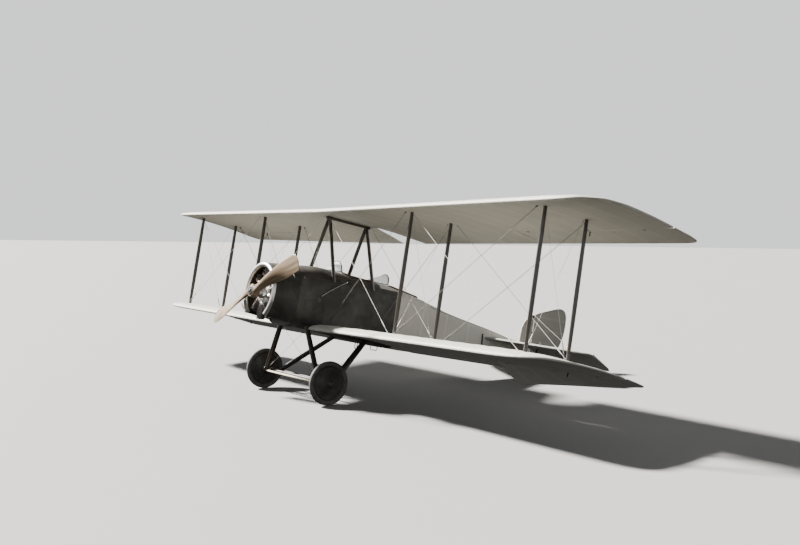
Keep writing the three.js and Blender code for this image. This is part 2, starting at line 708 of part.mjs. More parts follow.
function hingeUpright(heights, width) {
  return join(...heights.map((z) => rod([rudderX, 0, z - width / 2], [rudderX, 0, z + width / 2], 10, 10)
    .add(box([rudderX, -8, z - width / 2], [rudderX + 40, 8, z + width / 2]))));
}

function buildFin(body) {
  const outline = [[-4430, 200], [-4442, 560], [-4470, 670], [-4525, 760], [-4610, 840], [rudderX + 20, 884],
    [rudderX + 20, 200]];
  return plateAcross(outline, 34, 8).subtract(body.translate([0, 0, touch])).subtract(
    box([-5000, -60, 0], [-4400, 60, 316])).add(hingeUpright([560, 800], 24));
}

function buildRudder() {
  const outline = [[rudderX, 60], [rudderX, 888], [-4830, 938], [-5035, 1010], [-5270, 1086], [-5400, 1100],
    [-5490, 1060], [-5540, 960], [-5552, 820], [-5540, 640], [-5490, 460], [-5400, 300], [-5250, 160], [-5040, 76]];
  const notches = join(...[175, 560, 800].map((z) => rod(
    [rudderX, 0, z - 12 - touch], [rudderX, 0, z + 12 + touch], 17, 12)));
  return plateAcross(outline, 36, 9).subtract(notches);
}

function groundZ(x) {
  return (groundOffset - Math.sin(groundPitch * degrees) * x) / Math.cos(groundPitch * degrees);
}

function buildSkid(body) {
  const shoeX = -4440;
  const shoe = box([-90, -30, 0], [90, 30, 14]).rotate([0, groundPitch, 0])
    .translate([shoeX, 0, groundZ(shoeX)]);
  const blade = bar([-3960, 0, 50], [shoeX - 20, 0, groundZ(shoeX - 20) + 28], strutSection(70, 50));
  const post = bar([-4290, 0, 180], [-4250, 0, -110], strutSection(60, 34));
  return join(blade, post).subtract(body.translate([0, 0, -touch])).add(shoe);
}

// Assembly
const aircraft = new THREE.Group();
aircraft.rotation.y = -groundPitch * degrees;

function addNode(name, solid, material) {
  const mesh = new THREE.Mesh(geometryOf(solid), material);
  mesh.name = name;
  aircraft.add(mesh);
}

const sides = [['port', 1], ['starboard', -1]];
const body = buildFuselage();
addNode('fuselage_front', body.front, paint.dark);
addNode('fuselage_rear', body.rear, paint.linen);
addNode('decking_front', body.deckFront, paint.dark);
addNode('decking_rear', body.deckRear, paint.linen);
addNode('cowl', buildCowl(), paint.dark);
addNode('firewall', buildFirewall(body.frontShell), paint.dark);
const floor = buildFloor(body.frontShell);
addNode('cockpit_floor', floor, paint.wood);
addNode('seat_front', buildSeat(-420, -92, 150, floor), paint.leather);
addNode('seat_rear', buildSeat(-1365, -170, 120, body.rear), paint.leather);
addNode('windscreen_front', buildWindscreen([-100, -255, -282, 225, 1043], body.outline), paint.glass);
addNode('windscreen_rear', buildWindscreen([-870, -1115, -1236, 220, 1000], body.outline), paint.glass);

const upperWings = {};
const lowerWings = {};
for (const [name, side] of sides) {
  upperWings[name] = buildWing(side, true, body.outline);
  lowerWings[name] = buildWing(side, false, body.outline);
  addNode(`wing_upper_${name}`, upperWings[name].panel, paint.linen);
  addNode(`wing_lower_${name}`, lowerWings[name].panel, paint.linen);
  addNode(`aileron_upper_${name}`, upperWings[name].flap, paint.linen);
  addNode(`aileron_lower_${name}`, lowerWings[name].flap, paint.linen);
}

const ridge = buildRidge(upperWings.port.whole.add(upperWings.starboard.whole));
addNode('cabane_ridge', ridge, paint.strut);
const axleFrame = buildAxleFrame();
addNode('axle_frame', axleFrame, paint.strut);

for (const [name, side] of sides) {
  const wings = { upper: upperWings[name].whole, lower: lowerWings[name].whole };
  addNode(`cabane_front_${name}`, buildCabaneLeg(side, 0, -20, 640, ridge, body.outline), paint.strut);
  addNode(`cabane_rear_${name}`, buildCabaneLeg(side, rearSparX, -760, 640, ridge, body.outline), paint.strut);
  for (const [bay, y] of [['inner', innerStrutY], ['outer', outerStrutY]]) {
    addNode(`strut_${bay}_front_${name}`, buildStrut(side, 0, y, wings), paint.strut);
    addNode(`strut_${bay}_rear_${name}`, buildStrut(side, rearSparX, y, wings), paint.strut);
  }
  for (const [plane, x] of [['front', 0], ['rear', rearSparX]]) {
    const [inner, outer] = buildStays(side, x, wings);
    addNode(`stays_${plane}_inner_${name}`, inner, paint.steel);
    addNode(`stays_${plane}_outer_${name}`, outer, paint.steel);
  }
  const carriers = [body.outline, wings.lower, axleFrame];
  addNode(`gear_leg_front_${name}`, buildLeg(side, legTable.front, carriers), paint.strut);
  addNode(`gear_leg_rear_${name}`, buildLeg(side, legTable.rear, carriers), paint.strut);
  const wheel = buildWheel(side);
  addNode(`tyre_${name}`, wheel.tyre, paint.rubber);
  addNode(`wheel_disc_${name}`, wheel.disc, paint.dark);
  addNode(`tailplane_${name}`, buildTailplane(side), paint.linen);
}

addNode('engine', buildEngine(), paint.steel);
addNode('propeller', buildPropeller(), paint.wood);
addNode('elevator', buildElevator(), paint.linen);
addNode('fin', buildFin(body.outline), paint.linen);
addNode('rudder', buildRudder(), paint.linen);
addNode('tail_skid', buildSkid(body.outline), paint.strut);

const model = new THREE.Group();
model.add(aircraft);
model.updateMatrixWorld(true);
const extent = new THREE.Box3().setFromObject(model, true);
aircraft.position.set(-(extent.min.x + extent.max.x) / 2, 0, -extent.min.z);
model.updateMatrixWorld(true);

export default model;
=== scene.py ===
import math

import bmesh
import bpy
from mathutils import Matrix, Vector


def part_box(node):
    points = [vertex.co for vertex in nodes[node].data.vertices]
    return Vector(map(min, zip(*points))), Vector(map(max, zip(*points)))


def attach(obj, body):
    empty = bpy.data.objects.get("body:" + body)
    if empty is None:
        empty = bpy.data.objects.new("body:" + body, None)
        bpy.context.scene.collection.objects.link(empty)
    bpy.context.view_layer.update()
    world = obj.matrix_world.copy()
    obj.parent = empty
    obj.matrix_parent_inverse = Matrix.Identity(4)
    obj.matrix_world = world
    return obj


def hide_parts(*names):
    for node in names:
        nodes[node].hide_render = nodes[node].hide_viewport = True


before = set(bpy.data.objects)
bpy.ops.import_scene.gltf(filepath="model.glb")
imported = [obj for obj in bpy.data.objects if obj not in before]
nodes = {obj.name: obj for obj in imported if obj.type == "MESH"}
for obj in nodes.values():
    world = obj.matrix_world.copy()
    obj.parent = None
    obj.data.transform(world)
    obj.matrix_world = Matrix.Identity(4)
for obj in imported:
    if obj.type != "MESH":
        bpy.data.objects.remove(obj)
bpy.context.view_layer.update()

print("frame loaded:", len(nodes), "nodes")

# The aircraft is drawn level, in millimetres, x forward, y port, z up, and stands pitched on its tail skid
stance = {"pitch": 11.16, "axleX": 121, "axleZ": -830, "wheelY": 986, "wheelRadius": 325}
wheelLow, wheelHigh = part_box("tyre_port")
axlePlace = (wheelLow + wheelHigh) / 2
pitchUp = Matrix.Rotation(-math.radians(stance["pitch"]), 4, "Y")
axleDrawn = pitchUp @ Vector((stance["axleX"], 0, stance["axleZ"])) / 1000
standing = Matrix.Translation((axlePlace.x - axleDrawn.x, 0, axlePlace.z - axleDrawn.z))
parked = standing @ pitchUp @ Matrix.Scale(0.001, 4)
sides = (("port", 1), ("starboard", -1))


def linked(name, data):
    made = bpy.data.objects.new(name, data)
    bpy.context.scene.collection.objects.link(made)
    return made


# Camera: its place in the drawing, its turn as a vector, and its lens
look = {
    "place": (7594, 12677, -206), "turn": (0.407642361, 1.76555276, -1.81623722), "lens": 42.43, "sensor": 36,
    "farthest": 4000,
}


def addCamera():
    turn = Vector(look["turn"])
    rows = Matrix.Rotation(turn.length, 3, turn.normalized())
    drawn = Matrix((rows[0], -rows[1], -rows[2])).transposed()
    camera = linked("camera", bpy.data.cameras.new("camera"))
    place = Matrix.Translation(parked @ Vector(look["place"]))
    camera.matrix_world = place @ (pitchUp.to_3x3() @ drawn).to_4x4()
    camera.data.lens = look["lens"]
    camera.data.sensor_width = look["sensor"]
    camera.data.clip_end = look["farthest"]
    bpy.context.scene.camera = camera


addCamera()
print("camera placed")


# Finishes. A channel is one value running through a finish's nodes, with Python's own operators
class Channel:
    def __init__(self, finish, socket):
        self.finish = finish
        self.socket = socket

    def join(self, operation, *others):
        return self.finish.maths(operation, self, *others)

    def __add__(self, other):
        return self.join("ADD", other)

    __radd__ = __add__

    def __mul__(self, other):
        return self.join("MULTIPLY", other)

    __rmul__ = __mul__

    def __sub__(self, other):
        return self.join("SUBTRACT", other)

    def __rsub__(self, other):
        return self.finish.maths("SUBTRACT", other, self)

    def __truediv__(self, other):
        return self.join("DIVIDE", other)

    def clamped(self):
        return self.join("MAXIMUM", 0).join("MINIMUM", 1)


class Finish:
    def __init__(self, name, slot, shader=None):
        self.material = bpy.data.materials.new(name)
        self.material.use_nodes = True
        self.slot = slot
        self.tree = self.material.node_tree
        self.tree.nodes.clear()
        self.shader = self.tree.nodes.new("ShaderNodeBsdfPrincipled")
        out = self.tree.nodes.new("ShaderNodeOutputMaterial")
        self.tree.links.new(self.shader.outputs[0], out.inputs["Surface"])
        for socket, value in (shader or {}).items():
            self.shader.inputs[socket].default_value = value
        drawnBack = Matrix.Rotation(math.radians(stance["pitch"]), 3, "Y").to_euler()
        place = self.node("ShaderNodeTexCoord", {}, {}, "Object")
        self.place = self.node("ShaderNodeMapping", {}, {"Vector": place, "Rotation": drawnBack}, "Vector")

    def node(self, kind, settings, sockets, out=0):
        made = self.tree.nodes.new(kind)
        for key, value in settings.items():
            if key == "stops":
                ramp = made.color_ramp.elements
                while len(ramp) < len(value):
                    ramp.new(0.5)
                for element, (position, colour) in zip(ramp, value):
                    element.position = position
                    element.color = (*colour, 1)
            else:
                setattr(made, key, value)
        for key, value in sockets.items():
            socket = made.inputs[key]
            if isinstance(value, Channel):
                self.tree.links.new(value.socket, socket)
            else:
                socket.default_value = value
        return Channel(self, made.outputs[out])

    def maths(self, operation, *values):
        return self.node("ShaderNodeMath", {"operation": operation}, dict(enumerate(values)))

    def axis(self, letter):
        return self.node("ShaderNodeSeparateXYZ", {}, {0: self.place}, letter)

    def noise(self, scale, detail=3.0, roughness=0.55, stretch=None):
        place = self.place
        if stretch:
            place = self.node("ShaderNodeMapping", {}, {"Vector": place, "Scale": stretch}, "Vector")
        sockets = {"Vector": place, "Scale": scale, "Detail": detail, "Roughness": roughness}
        return self.node("ShaderNodeTexNoise", {}, sockets, "Fac")

    def ramp(self, value, stops):
        return self.node("ShaderNodeValToRGB", {"stops": stops}, {0: value}, "Color")

    def grade(self, value, low, high):
        return ((value - low) / (high - low)).clamped()

    def mix(self, share, first, second):
        def colour(value):
            return value if isinstance(value, Channel) else (*value, 1)
        sockets = {0: share, 6: colour(first), 7: colour(second)}
        return self.node("ShaderNodeMix", {"data_type": "RGBA"}, sockets, 2)

    def bump(self, height, distance, strength=1.0):
        sockets = {"Height": height, "Distance": distance, "Strength": strength}
        return self.node("ShaderNodeBump", {}, sockets, "Normal")

    def give(self, **channels):
        for name, value in channels.items():
            self.tree.links.new(value.socket, self.shader.inputs[name.replace("_", " ")])
        return self


def stripes(finish, value, pitch, width, offset=0.0):
    # 1 inside a band of the given width at each pitch, with soft edges
    soft = 0.003
    nearest = finish.maths("PINGPONG", value + (100 * pitch - offset), pitch / 2)
    return 1 - finish.grade(nearest, width / 2 - soft, width / 2 + soft)


def weave(finish, scale=900.0):
    across = finish.maths("SINE", finish.axis("Y") * scale)
    along = finish.maths("SINE", finish.axis("X") * scale + finish.axis("Z") * scale)
    return across * along


linen = {
    "tone": (0.36, 0.345, 0.30), "pale": (0.43, 0.415, 0.37), "stain": (0.25, 0.23, 0.19),
    "tape": (0.56, 0.54, 0.49), "tapeWidth": 0.042, "tapeEdge": 0.004, "ribPitch": 0.33,
}


def dopedLinen(name, pitch, offset=0.0, axis="Y", shade=1.0):
    # Doped cloth with a rib tape at each pitch along one axis; shade scales all its tones, giving lighter and
    # darker copies of one cloth that partly paint in light and shade
    def toned(key):
        return tuple(shade * v for v in linen[key])

    finish = Finish(name, "doped_linen", {"Specular IOR Level": 0.42, "Sheen Weight": 0.12})
    cloud = finish.noise(1.3, 4)
    fine = finish.noise(22.0, 3)
    tone = finish.mix(finish.grade(cloud, 0.3, 0.72), toned("tone"), toned("pale"))
    stain = finish.grade(finish.noise(3.1, 5, 0.62, (1, 0.35, 1)), 0.6, 0.8) * 0.45
    tone = finish.mix(stain, tone, toned("stain"))
    tape = stripes(finish, finish.axis(axis), pitch, linen["tapeWidth"], offset)
    tone = finish.mix(tape * 0.35, tone, toned("tape"))
    wide = linen["tapeWidth"] + 2 * linen["tapeEdge"]
    edge = stripes(finish, finish.axis(axis), pitch, wide, offset) - tape
    tone = finish.mix(edge.clamped() * 0.3, tone, toned("stain"))
    rough = fine * 0.22 + 0.42 + stain * 0.2
    height = weave(finish) * 0.25 + tape * 0.8 + fine * 0.5
    return finish.give(Base_Color=tone, Roughness=rough, Normal=finish.bump(height, 0.0012, 0.6))


dark = {"tone": (0.026, 0.0245, 0.021), "worn": (0.078, 0.072, 0.061), "dust": (0.105, 0.098, 0.085)}


def darkPaint(name, slot, gloss, patch=2.2):
    finish = Finish(name, slot, {"Specular IOR Level": 0.36})
    cloud = finish.noise(patch, 6, 0.62)
    fine = finish.noise(34.0, 4)
    tone = finish.mix(finish.grade(cloud, 0.42, 0.66), dark["tone"], dark["worn"])
    streak = finish.grade(finish.noise(5.0, 5, 0.6, (0.5, 1, 2.2)), 0.58, 0.82)
    tone = finish.mix(streak * 0.35, tone, dark["dust"])
    rough = fine * 0.18 + gloss + streak * 0.15
    height = fine + weave(finish) * 0.1
    return finish.give(Base_Color=tone, Roughness=rough, Normal=finish.bump(height, 0.0008, 0.4))


def metal(name, slot, tone, rough, stain=(0.10, 0.09, 0.08), share=0.5, metallic=0.95):
    finish = Finish(name, slot, {"Metallic": metallic})
    cloud = finish.grade(finish.noise(9.0, 5, 0.6), 0.45, 0.78) * share
    brush = finish.noise(60.0, 4, 0.6, (1, 1, 0.15))
    colour = finish.mix(cloud, tone, stain)
    return finish.give(Base_Color=colour, Roughness=brush * 0.2 + rough + cloud * 0.2,
                       Normal=finish.bump(brush, 0.0004, 0.35))


def wood(name, slot, pale, deep, stretch, layers=0.0, rough=0.28, scale=30.0, turn=None):
    # The grain lies along one axis, which a turn lays along the propeller's blades
    finish = Finish(name, slot, {"Coat Weight": 0.35, "Coat Roughness": 0.2})
    if turn:
        finish.place = finish.node("ShaderNodeMapping", {"vector_type": "TEXTURE"},
                                   {"Vector": finish.place, "Rotation": turn}, "Vector")
    grain = finish.noise(scale, 6, 0.6, stretch)
    lines = finish.grade(finish.noise(scale * 3.2, 4, 0.7, stretch), 0.45, 0.62)
    tone = finish.mix(finish.grade(grain, 0.32, 0.7), pale, deep)
    tone = finish.mix(lines * 0.25, tone, deep)
    if layers:
        band = finish.maths("FLOOR", finish.axis("X") / layers)
        shade = finish.maths("PINGPONG", band, 1.0)
        tone = finish.mix(shade * 0.55, tone, deep)
    return finish.give(Base_Color=tone, Roughness=finish.noise(12.0) * 0.2 + rough,
                       Normal=finish.bump(grain, 0.0006, 0.4))


def tyreRubber():
    finish = Finish("dustyTyreRubber", "tyre_rubber")
    dusty = finish.grade(finish.noise(16.0, 5), 0.35, 0.75)
    tone = finish.mix(dusty, (0.052, 0.050, 0.046), (0.11, 0.105, 0.097))
    return finish.give(Base_Color=tone, Roughness=dusty * 0.2 + 0.62,
                       Normal=finish.bump(finish.noise(160.0, 3), 0.0008, 0.5))


def leather():
    finish = Finish("wornBrownLeather", "leather")
    cell = finish.node("ShaderNodeTexVoronoi", {}, {"Vector": finish.place, "Scale": 420.0}, "Distance")
    wear = finish.grade(finish.noise(11.0, 5), 0.48, 0.75)
    tone = finish.mix(wear, (0.055, 0.030, 0.018), (0.15, 0.095, 0.060))
    return finish.give(Base_Color=tone, Roughness=wear * 0.2 + 0.4, Normal=finish.bump(cell, 0.0006, 0.6))


def wrapped(name, slot, pale, deep, pitch):
    # Cord or cane: fine bands that run round the piece
    finish = Finish(name, slot, {"Specular IOR Level": 0.3})
    across = finish.axis("X") + finish.axis("Z") + finish.axis("Y")
    band = finish.maths("SINE", across * (2 * math.pi / pitch))
    tone = finish.mix(finish.grade(band, -0.6, 0.8), deep, pale)
    tone = finish.mix(finish.grade(finish.noise(14.0, 5), 0.5, 0.8) * 0.5, tone, deep)
    return finish.give(Base_Color=tone, Roughness=finish.noise(40.0) * 0.2 + 0.6,
                       Normal=finish.bump(band, 0.0008, 0.7))


def canvas():
    finish = Finish("seatCanvas", "leather", {"Specular IOR Level": 0.3, "Sheen Weight": 0.2})
    wear = finish.grade(finish.noise(8.0, 5), 0.4, 0.75)
    tone = finish.mix(wear, (0.16, 0.12, 0.085), (0.28, 0.225, 0.165))
    threads = finish.bump(weave(finish, 2400.0), 0.0006, 0.6)
    return finish.give(Base_Color=tone, Roughness=wear * 0.15 + 0.66, Normal=threads)


def celluloidWithPaintedGlow():
    # Scratched sheet that lets some light through, with a painted white glow from its emission standing in
    # for the sunlight seen through it
    finish = Finish("windscreenSheetPaintedGlow", "windscreen_glass", {
        "Specular IOR Level": 0.7, "Coat Weight": 0.4, "Subsurface Weight": 0.6, "Subsurface Scale": 0.03,
        "Subsurface Radius": (1, 1, 1), "Emission Color": (0.9, 0.92, 0.9, 1), "Emission Strength": 0.35,
    })
    haze = finish.noise(6.0, 4)
    tone = finish.mix(finish.grade(haze, 0.3, 0.75), (0.84, 0.85, 0.83), (0.93, 0.94, 0.92))
    scratch = finish.grade(finish.noise(120.0, 2, 0.5, (0.1, 1, 1)), 0.6, 0.8)
    return finish.give(Base_Color=tone, Roughness=scratch * 0.2 + 0.12, Alpha=haze * 0.1 + 0.88)


propellerRest = 23  # degrees that the blades stand turned, which the grain follows
finishes = {
    # The body's cloth is a lighter copy, and the tail's and fin's are darker copies of the wing's: partly
    # painted light and painted shade, partly the cloth's own tone
    "wing": dopedLinen("wingLinen", linen["ribPitch"]),
    "body": dopedLinen("bodyLinen", 0.56, axis="X", shade=1.5),
    "tail": dopedLinen("tailLinen", 0.29, 0.05, shade=0.85),
    "upright": dopedLinen("finLinen", 0.24, 0.1, axis="Z", shade=0.6),
    "darkFabric": darkPaint("darkFabric", "dark_fabric", 0.44),
    "cowl": darkPaint("darkCowlPaint", "dark_metal", 0.42, 3.0),
    "disc": darkPaint("darkDiscFabric", "dark_disc", 0.5, 5.0),
    "strut": wood("darkSpruce", "dark_spruce", (0.050, 0.038, 0.028), (0.022, 0.017, 0.013), (1, 1, 0.06)),
    "lip": metal("rolledLipMetal", "dark_metal", (0.72, 0.71, 0.68), 0.26, share=0.25),
    "steel": metal("engineSteel", "engine_steel", (0.56, 0.55, 0.53), 0.30),
    "bright": metal("polishedAlloy", "engine_steel", (0.78, 0.77, 0.74), 0.2, share=0.2),
    "fitting": metal("blackenedSteel", "dark_steel", (0.085, 0.08, 0.075), 0.42, (0.03, 0.025, 0.02),
                     0.6, 0.7),
    "wire": metal("stayWireSteel", "stay_wire", (0.30, 0.293, 0.28), 0.5, share=0.3, metallic=0.5),
    "cable": metal("strandedCable", "stay_wire", (0.11, 0.105, 0.10), 0.5, share=0.4, metallic=0.4),
    "copper": metal("tarnishedCopper", "engine_steel", (0.42, 0.24, 0.14), 0.35),
    "propeller": wood("laminatedWalnut", "varnished_wood", (0.29, 0.22, 0.145), (0.13, 0.088, 0.052),
                      (1, 0.07, 1), 0.019,
                      turn=(math.radians(propellerRest), -math.radians(stance["pitch"]), 0)),
    "plywood": wood("floorPlywood", "plywood", (0.40, 0.29, 0.18), (0.24, 0.16, 0.09), (0.08, 1, 1)),
    "ash": wood("skidAsh", "ash_wood", (0.30, 0.22, 0.14), (0.15, 0.10, 0.06), (0.1, 1, 1)),
    "rubber": tyreRubber(),
    "leather": leather(),
    "canvas": canvas(),
    "cane": wrapped("woundCane", "plywood", (0.42, 0.33, 0.21), (0.17, 0.12, 0.07), 0.016),
    "cord": wrapped("shockCord", "leather", (0.34, 0.31, 0.25), (0.11, 0.095, 0.075), 0.012),
    "cylinder": metal("oiledSteelFins", "engine_steel", (0.20, 0.19, 0.18), 0.38, (0.05, 0.04, 0.03),
                      0.7, 0.85),
    # Front spreader bar: its pale tone is a painted highlight for the sunlight on its top
    "spreader": wood("paintedSunlitAshBar", "ash_wood", (0.62, 0.56, 0.46), (0.44, 0.38, 0.29), (0.1, 0.05, 0.1)),
    "tape": dopedLinen("edgeTape", 0.11, axis="Z", shade=1.6),
    # The windscreens' sheet carries a painted glow
    "glass": celluloidWithPaintedGlow(),
}
print("finishes made:", len(finishes))


# Mesh helpers, all in drawn millimetres until a piece is finished
def spaced(start, stop, steps):
    return [start + (stop - start) * i / steps for i in range(steps + 1)]


def around(count):
    return [2 * math.pi * i / count for i in range(count)]


def roundProfile(ring, radius, points=10, flat=1.0):
    # A closed round section that stands out from the axis of a lathe
    turns = spaced(0, 2 * math.pi, points)
    return [(ring + radius * math.cos(a), flat * radius * math.sin(a)) for a in turns]


def through(table, x):
    # A smooth curve through the rows of a table, read at x, that never overshoots them
    rows = sorted(table)
    if x <= rows[0][0]:
        return rows[0][1:]
    if x >= rows[-1][0]:
        return rows[-1][1:]
    i = next(k for k in range(len(rows) - 1) if x <= rows[k + 1][0])
    a, b = rows[i], rows[i + 1]
    before = rows[i - 1] if i else None
    after = rows[i + 2] if i + 2 < len(rows) else None
    span = b[0] - a[0]
    t = (x - a[0]) / span

    def slope(here, other):
        if other is None:
            return here
        return 0 if here * other <= 0 else 2 * here * other / (here + other)

    values = []
    for k in range(1, len(a)):
        rise = (b[k] - a[k]) / span
        m0 = slope(rise, before and (a[k] - before[k]) / (a[0] - before[0]))
        m1 = slope(rise, after and (after[k] - b[k]) / (after[0] - b[0]))
        values.append((2 * t**3 - 3 * t**2 + 1) * a[k] + (t**3 - 2 * t**2 + t) * span * m0
                      + (3 * t**2 - 2 * t**3) * b[k] + (t**3 - t**2) * span * m1)
    return tuple(values)


def loft(rings, capped=True, closed=True):
    shape = bmesh.new()
    made = [[shape.verts.new(point) for point in ring] for ring in rings]
    count = len(rings[0])
    for first, second in zip(made, made[1:]):
        for j in range(count if closed else count - 1):
            k = (j + 1) % count
            shape.faces.new((first[j], first[k], second[k], second[j]))
    if capped:
        shape.faces.new(list(reversed(made[0])))
        shape.faces.new(made[-1])
    bmesh.ops.recalc_face_normals(shape, faces=shape.faces)
    return shape


def frameAlong(path):
    # Right-angled frames that follow a path without twisting
    points = [Vector(p) for p in path]
    frames = []
    for i, point in enumerate(points):
        tangent = (points[min(i + 1, len(points) - 1)] - points[max(i - 1, 0)]).normalized()
        side = side if i else tangent.orthogonal()
        side = (side - tangent * side.dot(tangent)).normalized()
        frames.append((point, side, tangent.cross(side)))
    return frames


def tube(path, radius, sides=10, ring=False):
    radii = radius if isinstance(radius, (list, tuple)) else [radius] * len(path)
    rings = []
    for (point, side, up), size in zip(frameAlong(path), radii):
        rings.append([point + side * (size * math.cos(a)) + up * (size * math.sin(a)) for a in around(sides)])
    if not ring:
        return loft(rings)
    shape = loft(rings + rings[:1], capped=False)
    bmesh.ops.remove_doubles(shape, verts=shape.verts, dist=0.01)
    return shape


def lathe(profile, centre=(0, 0, 0), axis=(0, 0, 1), sides=64, wave=None):
    # Rings of [radius, along] about a line through centre, with an extra move along it
    axis = Vector(axis).normalized()
    side = axis.orthogonal().normalized()
    up = axis.cross(side)
    rings = []
    for angle in around(sides):
        outward = side * math.cos(angle) + up * math.sin(angle)
        ring = []
        for radius, along in profile:
            move = along + (wave(radius, along, angle) if wave else 0)
            ring.append(Vector(centre) + outward * max(radius, 0.02) + axis * move)
        rings.append(ring)
    shape = loft(rings + rings[:1], capped=False)
    bmesh.ops.remove_doubles(shape, verts=shape.verts, dist=0.05)
    bmesh.ops.dissolve_degenerate(shape, edges=shape.edges, dist=0.001)
    bmesh.ops.recalc_face_normals(shape, faces=shape.faces)
    return shape


def block(low, high, bevel=0.0):
    shape = bmesh.new()
    bmesh.ops.create_cube(shape, size=1)
    for vertex in shape.verts:
        vertex.co = Vector(low[k] + (vertex.co[k] + 0.5) * (high[k] - low[k]) for k in range(3))
    if bevel:
        bmesh.ops.bevel(shape, geom=shape.edges[:], offset=bevel, segments=2, affect="EDGES", profile=0.5)
    return shape


def prism(outline, low, high, axis=2):
    rings = []
    for level in (low, high):
        rings.append([(a, b)[:axis] + (level,) + (a, b)[axis:] for a, b in outline])
    return loft(rings)


def merged(*shapes):
    whole = bmesh.new()
    for shape in shapes:
        mesh = bpy.data.meshes.new("part")
        shape.to_mesh(mesh)
        whole.from_mesh(mesh)
        bpy.data.meshes.remove(mesh)
    return whole


def turned(shape, matrix):
    bmesh.ops.transform(shape, matrix=matrix, verts=shape.verts)
    return shape


def pivoted(shape, centre, degrees, axis):
    swing = Matrix.Translation(centre) @ Matrix.Rotation(math.radians(degrees), 4, axis)
    return turned(shape, swing @ Matrix.Translation(centre).inverted())


def objectOf(shape, name="working"):
    mesh = bpy.data.meshes.new(name)
    shape.to_mesh(mesh)
    return linked(name, mesh)


def shapeOf(mesh):
    shape = bmesh.new()
    shape.from_mesh(mesh)
    return shape


def evaluated(source):
    # The plain mesh that an object's modifiers make, which are then removed
    depsgraph = bpy.context.evaluated_depsgraph_get()
    mesh = bpy.data.meshes.new_from_object(source.evaluated_get(depsgraph))
    source.modifiers.clear()
    return mesh


def carved(base, *cuts):
    # Booleans in turn: each cut is (operation, shape)
    made = objectOf(base)
    for operation, shape in cuts:
        tool = objectOf(shape)
        change = made.modifiers.new("cut", "BOOLEAN")
        change.operation = operation
        change.object = tool
        change.solver = "MANIFOLD"
        made.data = evaluated(made)
        bpy.data.objects.remove(tool)
    shape = shapeOf(made.data)
    bpy.data.objects.remove(made)
    return shape


def addPiece(name, shape, finish, body="airframe", stands=(), angle=34):
    mesh = bpy.data.meshes.new(name)
    bmesh.ops.triangulate(shape, faces=[f for f in shape.faces if len(f.verts) > 4])
    shape.to_mesh(mesh)
    mesh.transform(parked)
    mesh.materials.append(finishes[finish].material)
    for polygon in mesh.polygons:
        polygon.material_index = 0
    mesh.shade_smooth()
    mesh.set_sharp_from_angle(angle=math.radians(angle))
    piece = linked(name, mesh)
    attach(piece, body)
    if stands:
        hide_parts(*stands)
    return piece


def copierTree():
    # Points that carry a turn and a size become copies of one object, joined in one mesh
    tree = bpy.data.node_groups.new("copies", "GeometryNodeTree")
    face = tree.interface
    face.new_socket("Geometry", in_out="INPUT", socket_type="NodeSocketGeometry")
    for name, kind in (("Item", "Object"), ("Item Size", "Float"), ("Finish", "Material")):
        face.new_socket(name, in_out="INPUT", socket_type="NodeSocket" + kind)
    face.new_socket("Geometry", in_out="OUTPUT", socket_type="NodeSocketGeometry")

    def add(kind, **settings):
        made = tree.nodes.new(kind)
        for key, value in settings.items():
            setattr(made, key, value)
        return made

    given, out = add("NodeGroupInput"), add("NodeGroupOutput")
    item = add("GeometryNodeObjectInfo", transform_space="ORIGINAL")
    turn = add("GeometryNodeInputNamedAttribute", data_type="FLOAT_VECTOR")
    turn.inputs["Name"].default_value = "turn"
    size = add("GeometryNodeInputNamedAttribute", data_type="FLOAT")
    size.inputs["Name"].default_value = "size"
    rotation, grown = add("FunctionNodeEulerToRotation"), add("ShaderNodeMath", operation="MULTIPLY")
    placed, real = add("GeometryNodeInstanceOnPoints"), add("GeometryNodeRealizeInstances")
    coat = add("GeometryNodeSetMaterial")
    for start, plug, stop, socket in (
            (given, "Item", item, "Object"), (turn, 0, rotation, 0), (size, 0, grown, 0),
            (given, "Item Size", grown, 1), (given, "Geometry", placed, "Points"),
            (item, "Geometry", placed, "Instance"), (rotation, 0, placed, "Rotation"),
            (grown, 0, placed, "Scale"),
            (placed, 0, real, 0), (real, 0, coat, "Geometry"), (given, "Finish", coat, "Material"),
            (coat, 0, out, 0)):
        tree.links.new(start.outputs[plug], stop.inputs[socket])
    return tree


copier = copierTree()


def repeated(item, places, finish, size=1.0):
    # The shape that Geometry Nodes makes of an item at each place, which is a matrix
    points = bpy.data.meshes.new("places")
    points.from_pydata([tuple(m.translation) for m in places], [], [])
    points.attributes.new("turn", "FLOAT_VECTOR", "POINT")
    points.attributes.new("size", "FLOAT", "POINT")
    points.attributes["turn"].data.foreach_set("vector", [v for m in places for v in m.to_euler()])
    points.attributes["size"].data.foreach_set("value", [m.to_scale()[0] for m in places])
    holder = linked("places", points)
    source = objectOf(item, "item")
    change = holder.modifiers.new("copies", "NODES")
    change.node_group = copier
    given = {"Item": source, "Item Size": size, "Finish": finishes[finish].material}
    for socket in copier.interface.items_tree:
        if socket.in_out == "INPUT" and socket.name in given:
            change[socket.identifier] = given[socket.name]
    shape = shapeOf(evaluated(holder))
    for spent in (holder, source):
        bpy.data.objects.remove(spent)
    return shape


def facing(place, along, across=(0, 0, 1)):
    # A matrix that stands at place with its z axis along one direction
    z = Vector(along).normalized()
    x = Vector(across) - z * Vector(across).dot(z)
    x = x.normalized() if x.length > 1e-4 else z.orthogonal().normalized()
    return Matrix.Translation(place) @ Matrix((x, z.cross(x), z)).transposed().to_4x4()


def bolt(radius=7, height=7, sides=6):
    washer = lathe([(0, 0), (radius * 1.5, 0), (radius * 1.5, 1.6), (0, 1.6)], sides=16)
    head = [(0, 1.4), (radius, 1.4), (radius, height * 0.85), (radius * 0.8, height), (0, height)]
    return merged(washer, lathe(head, sides=sides))


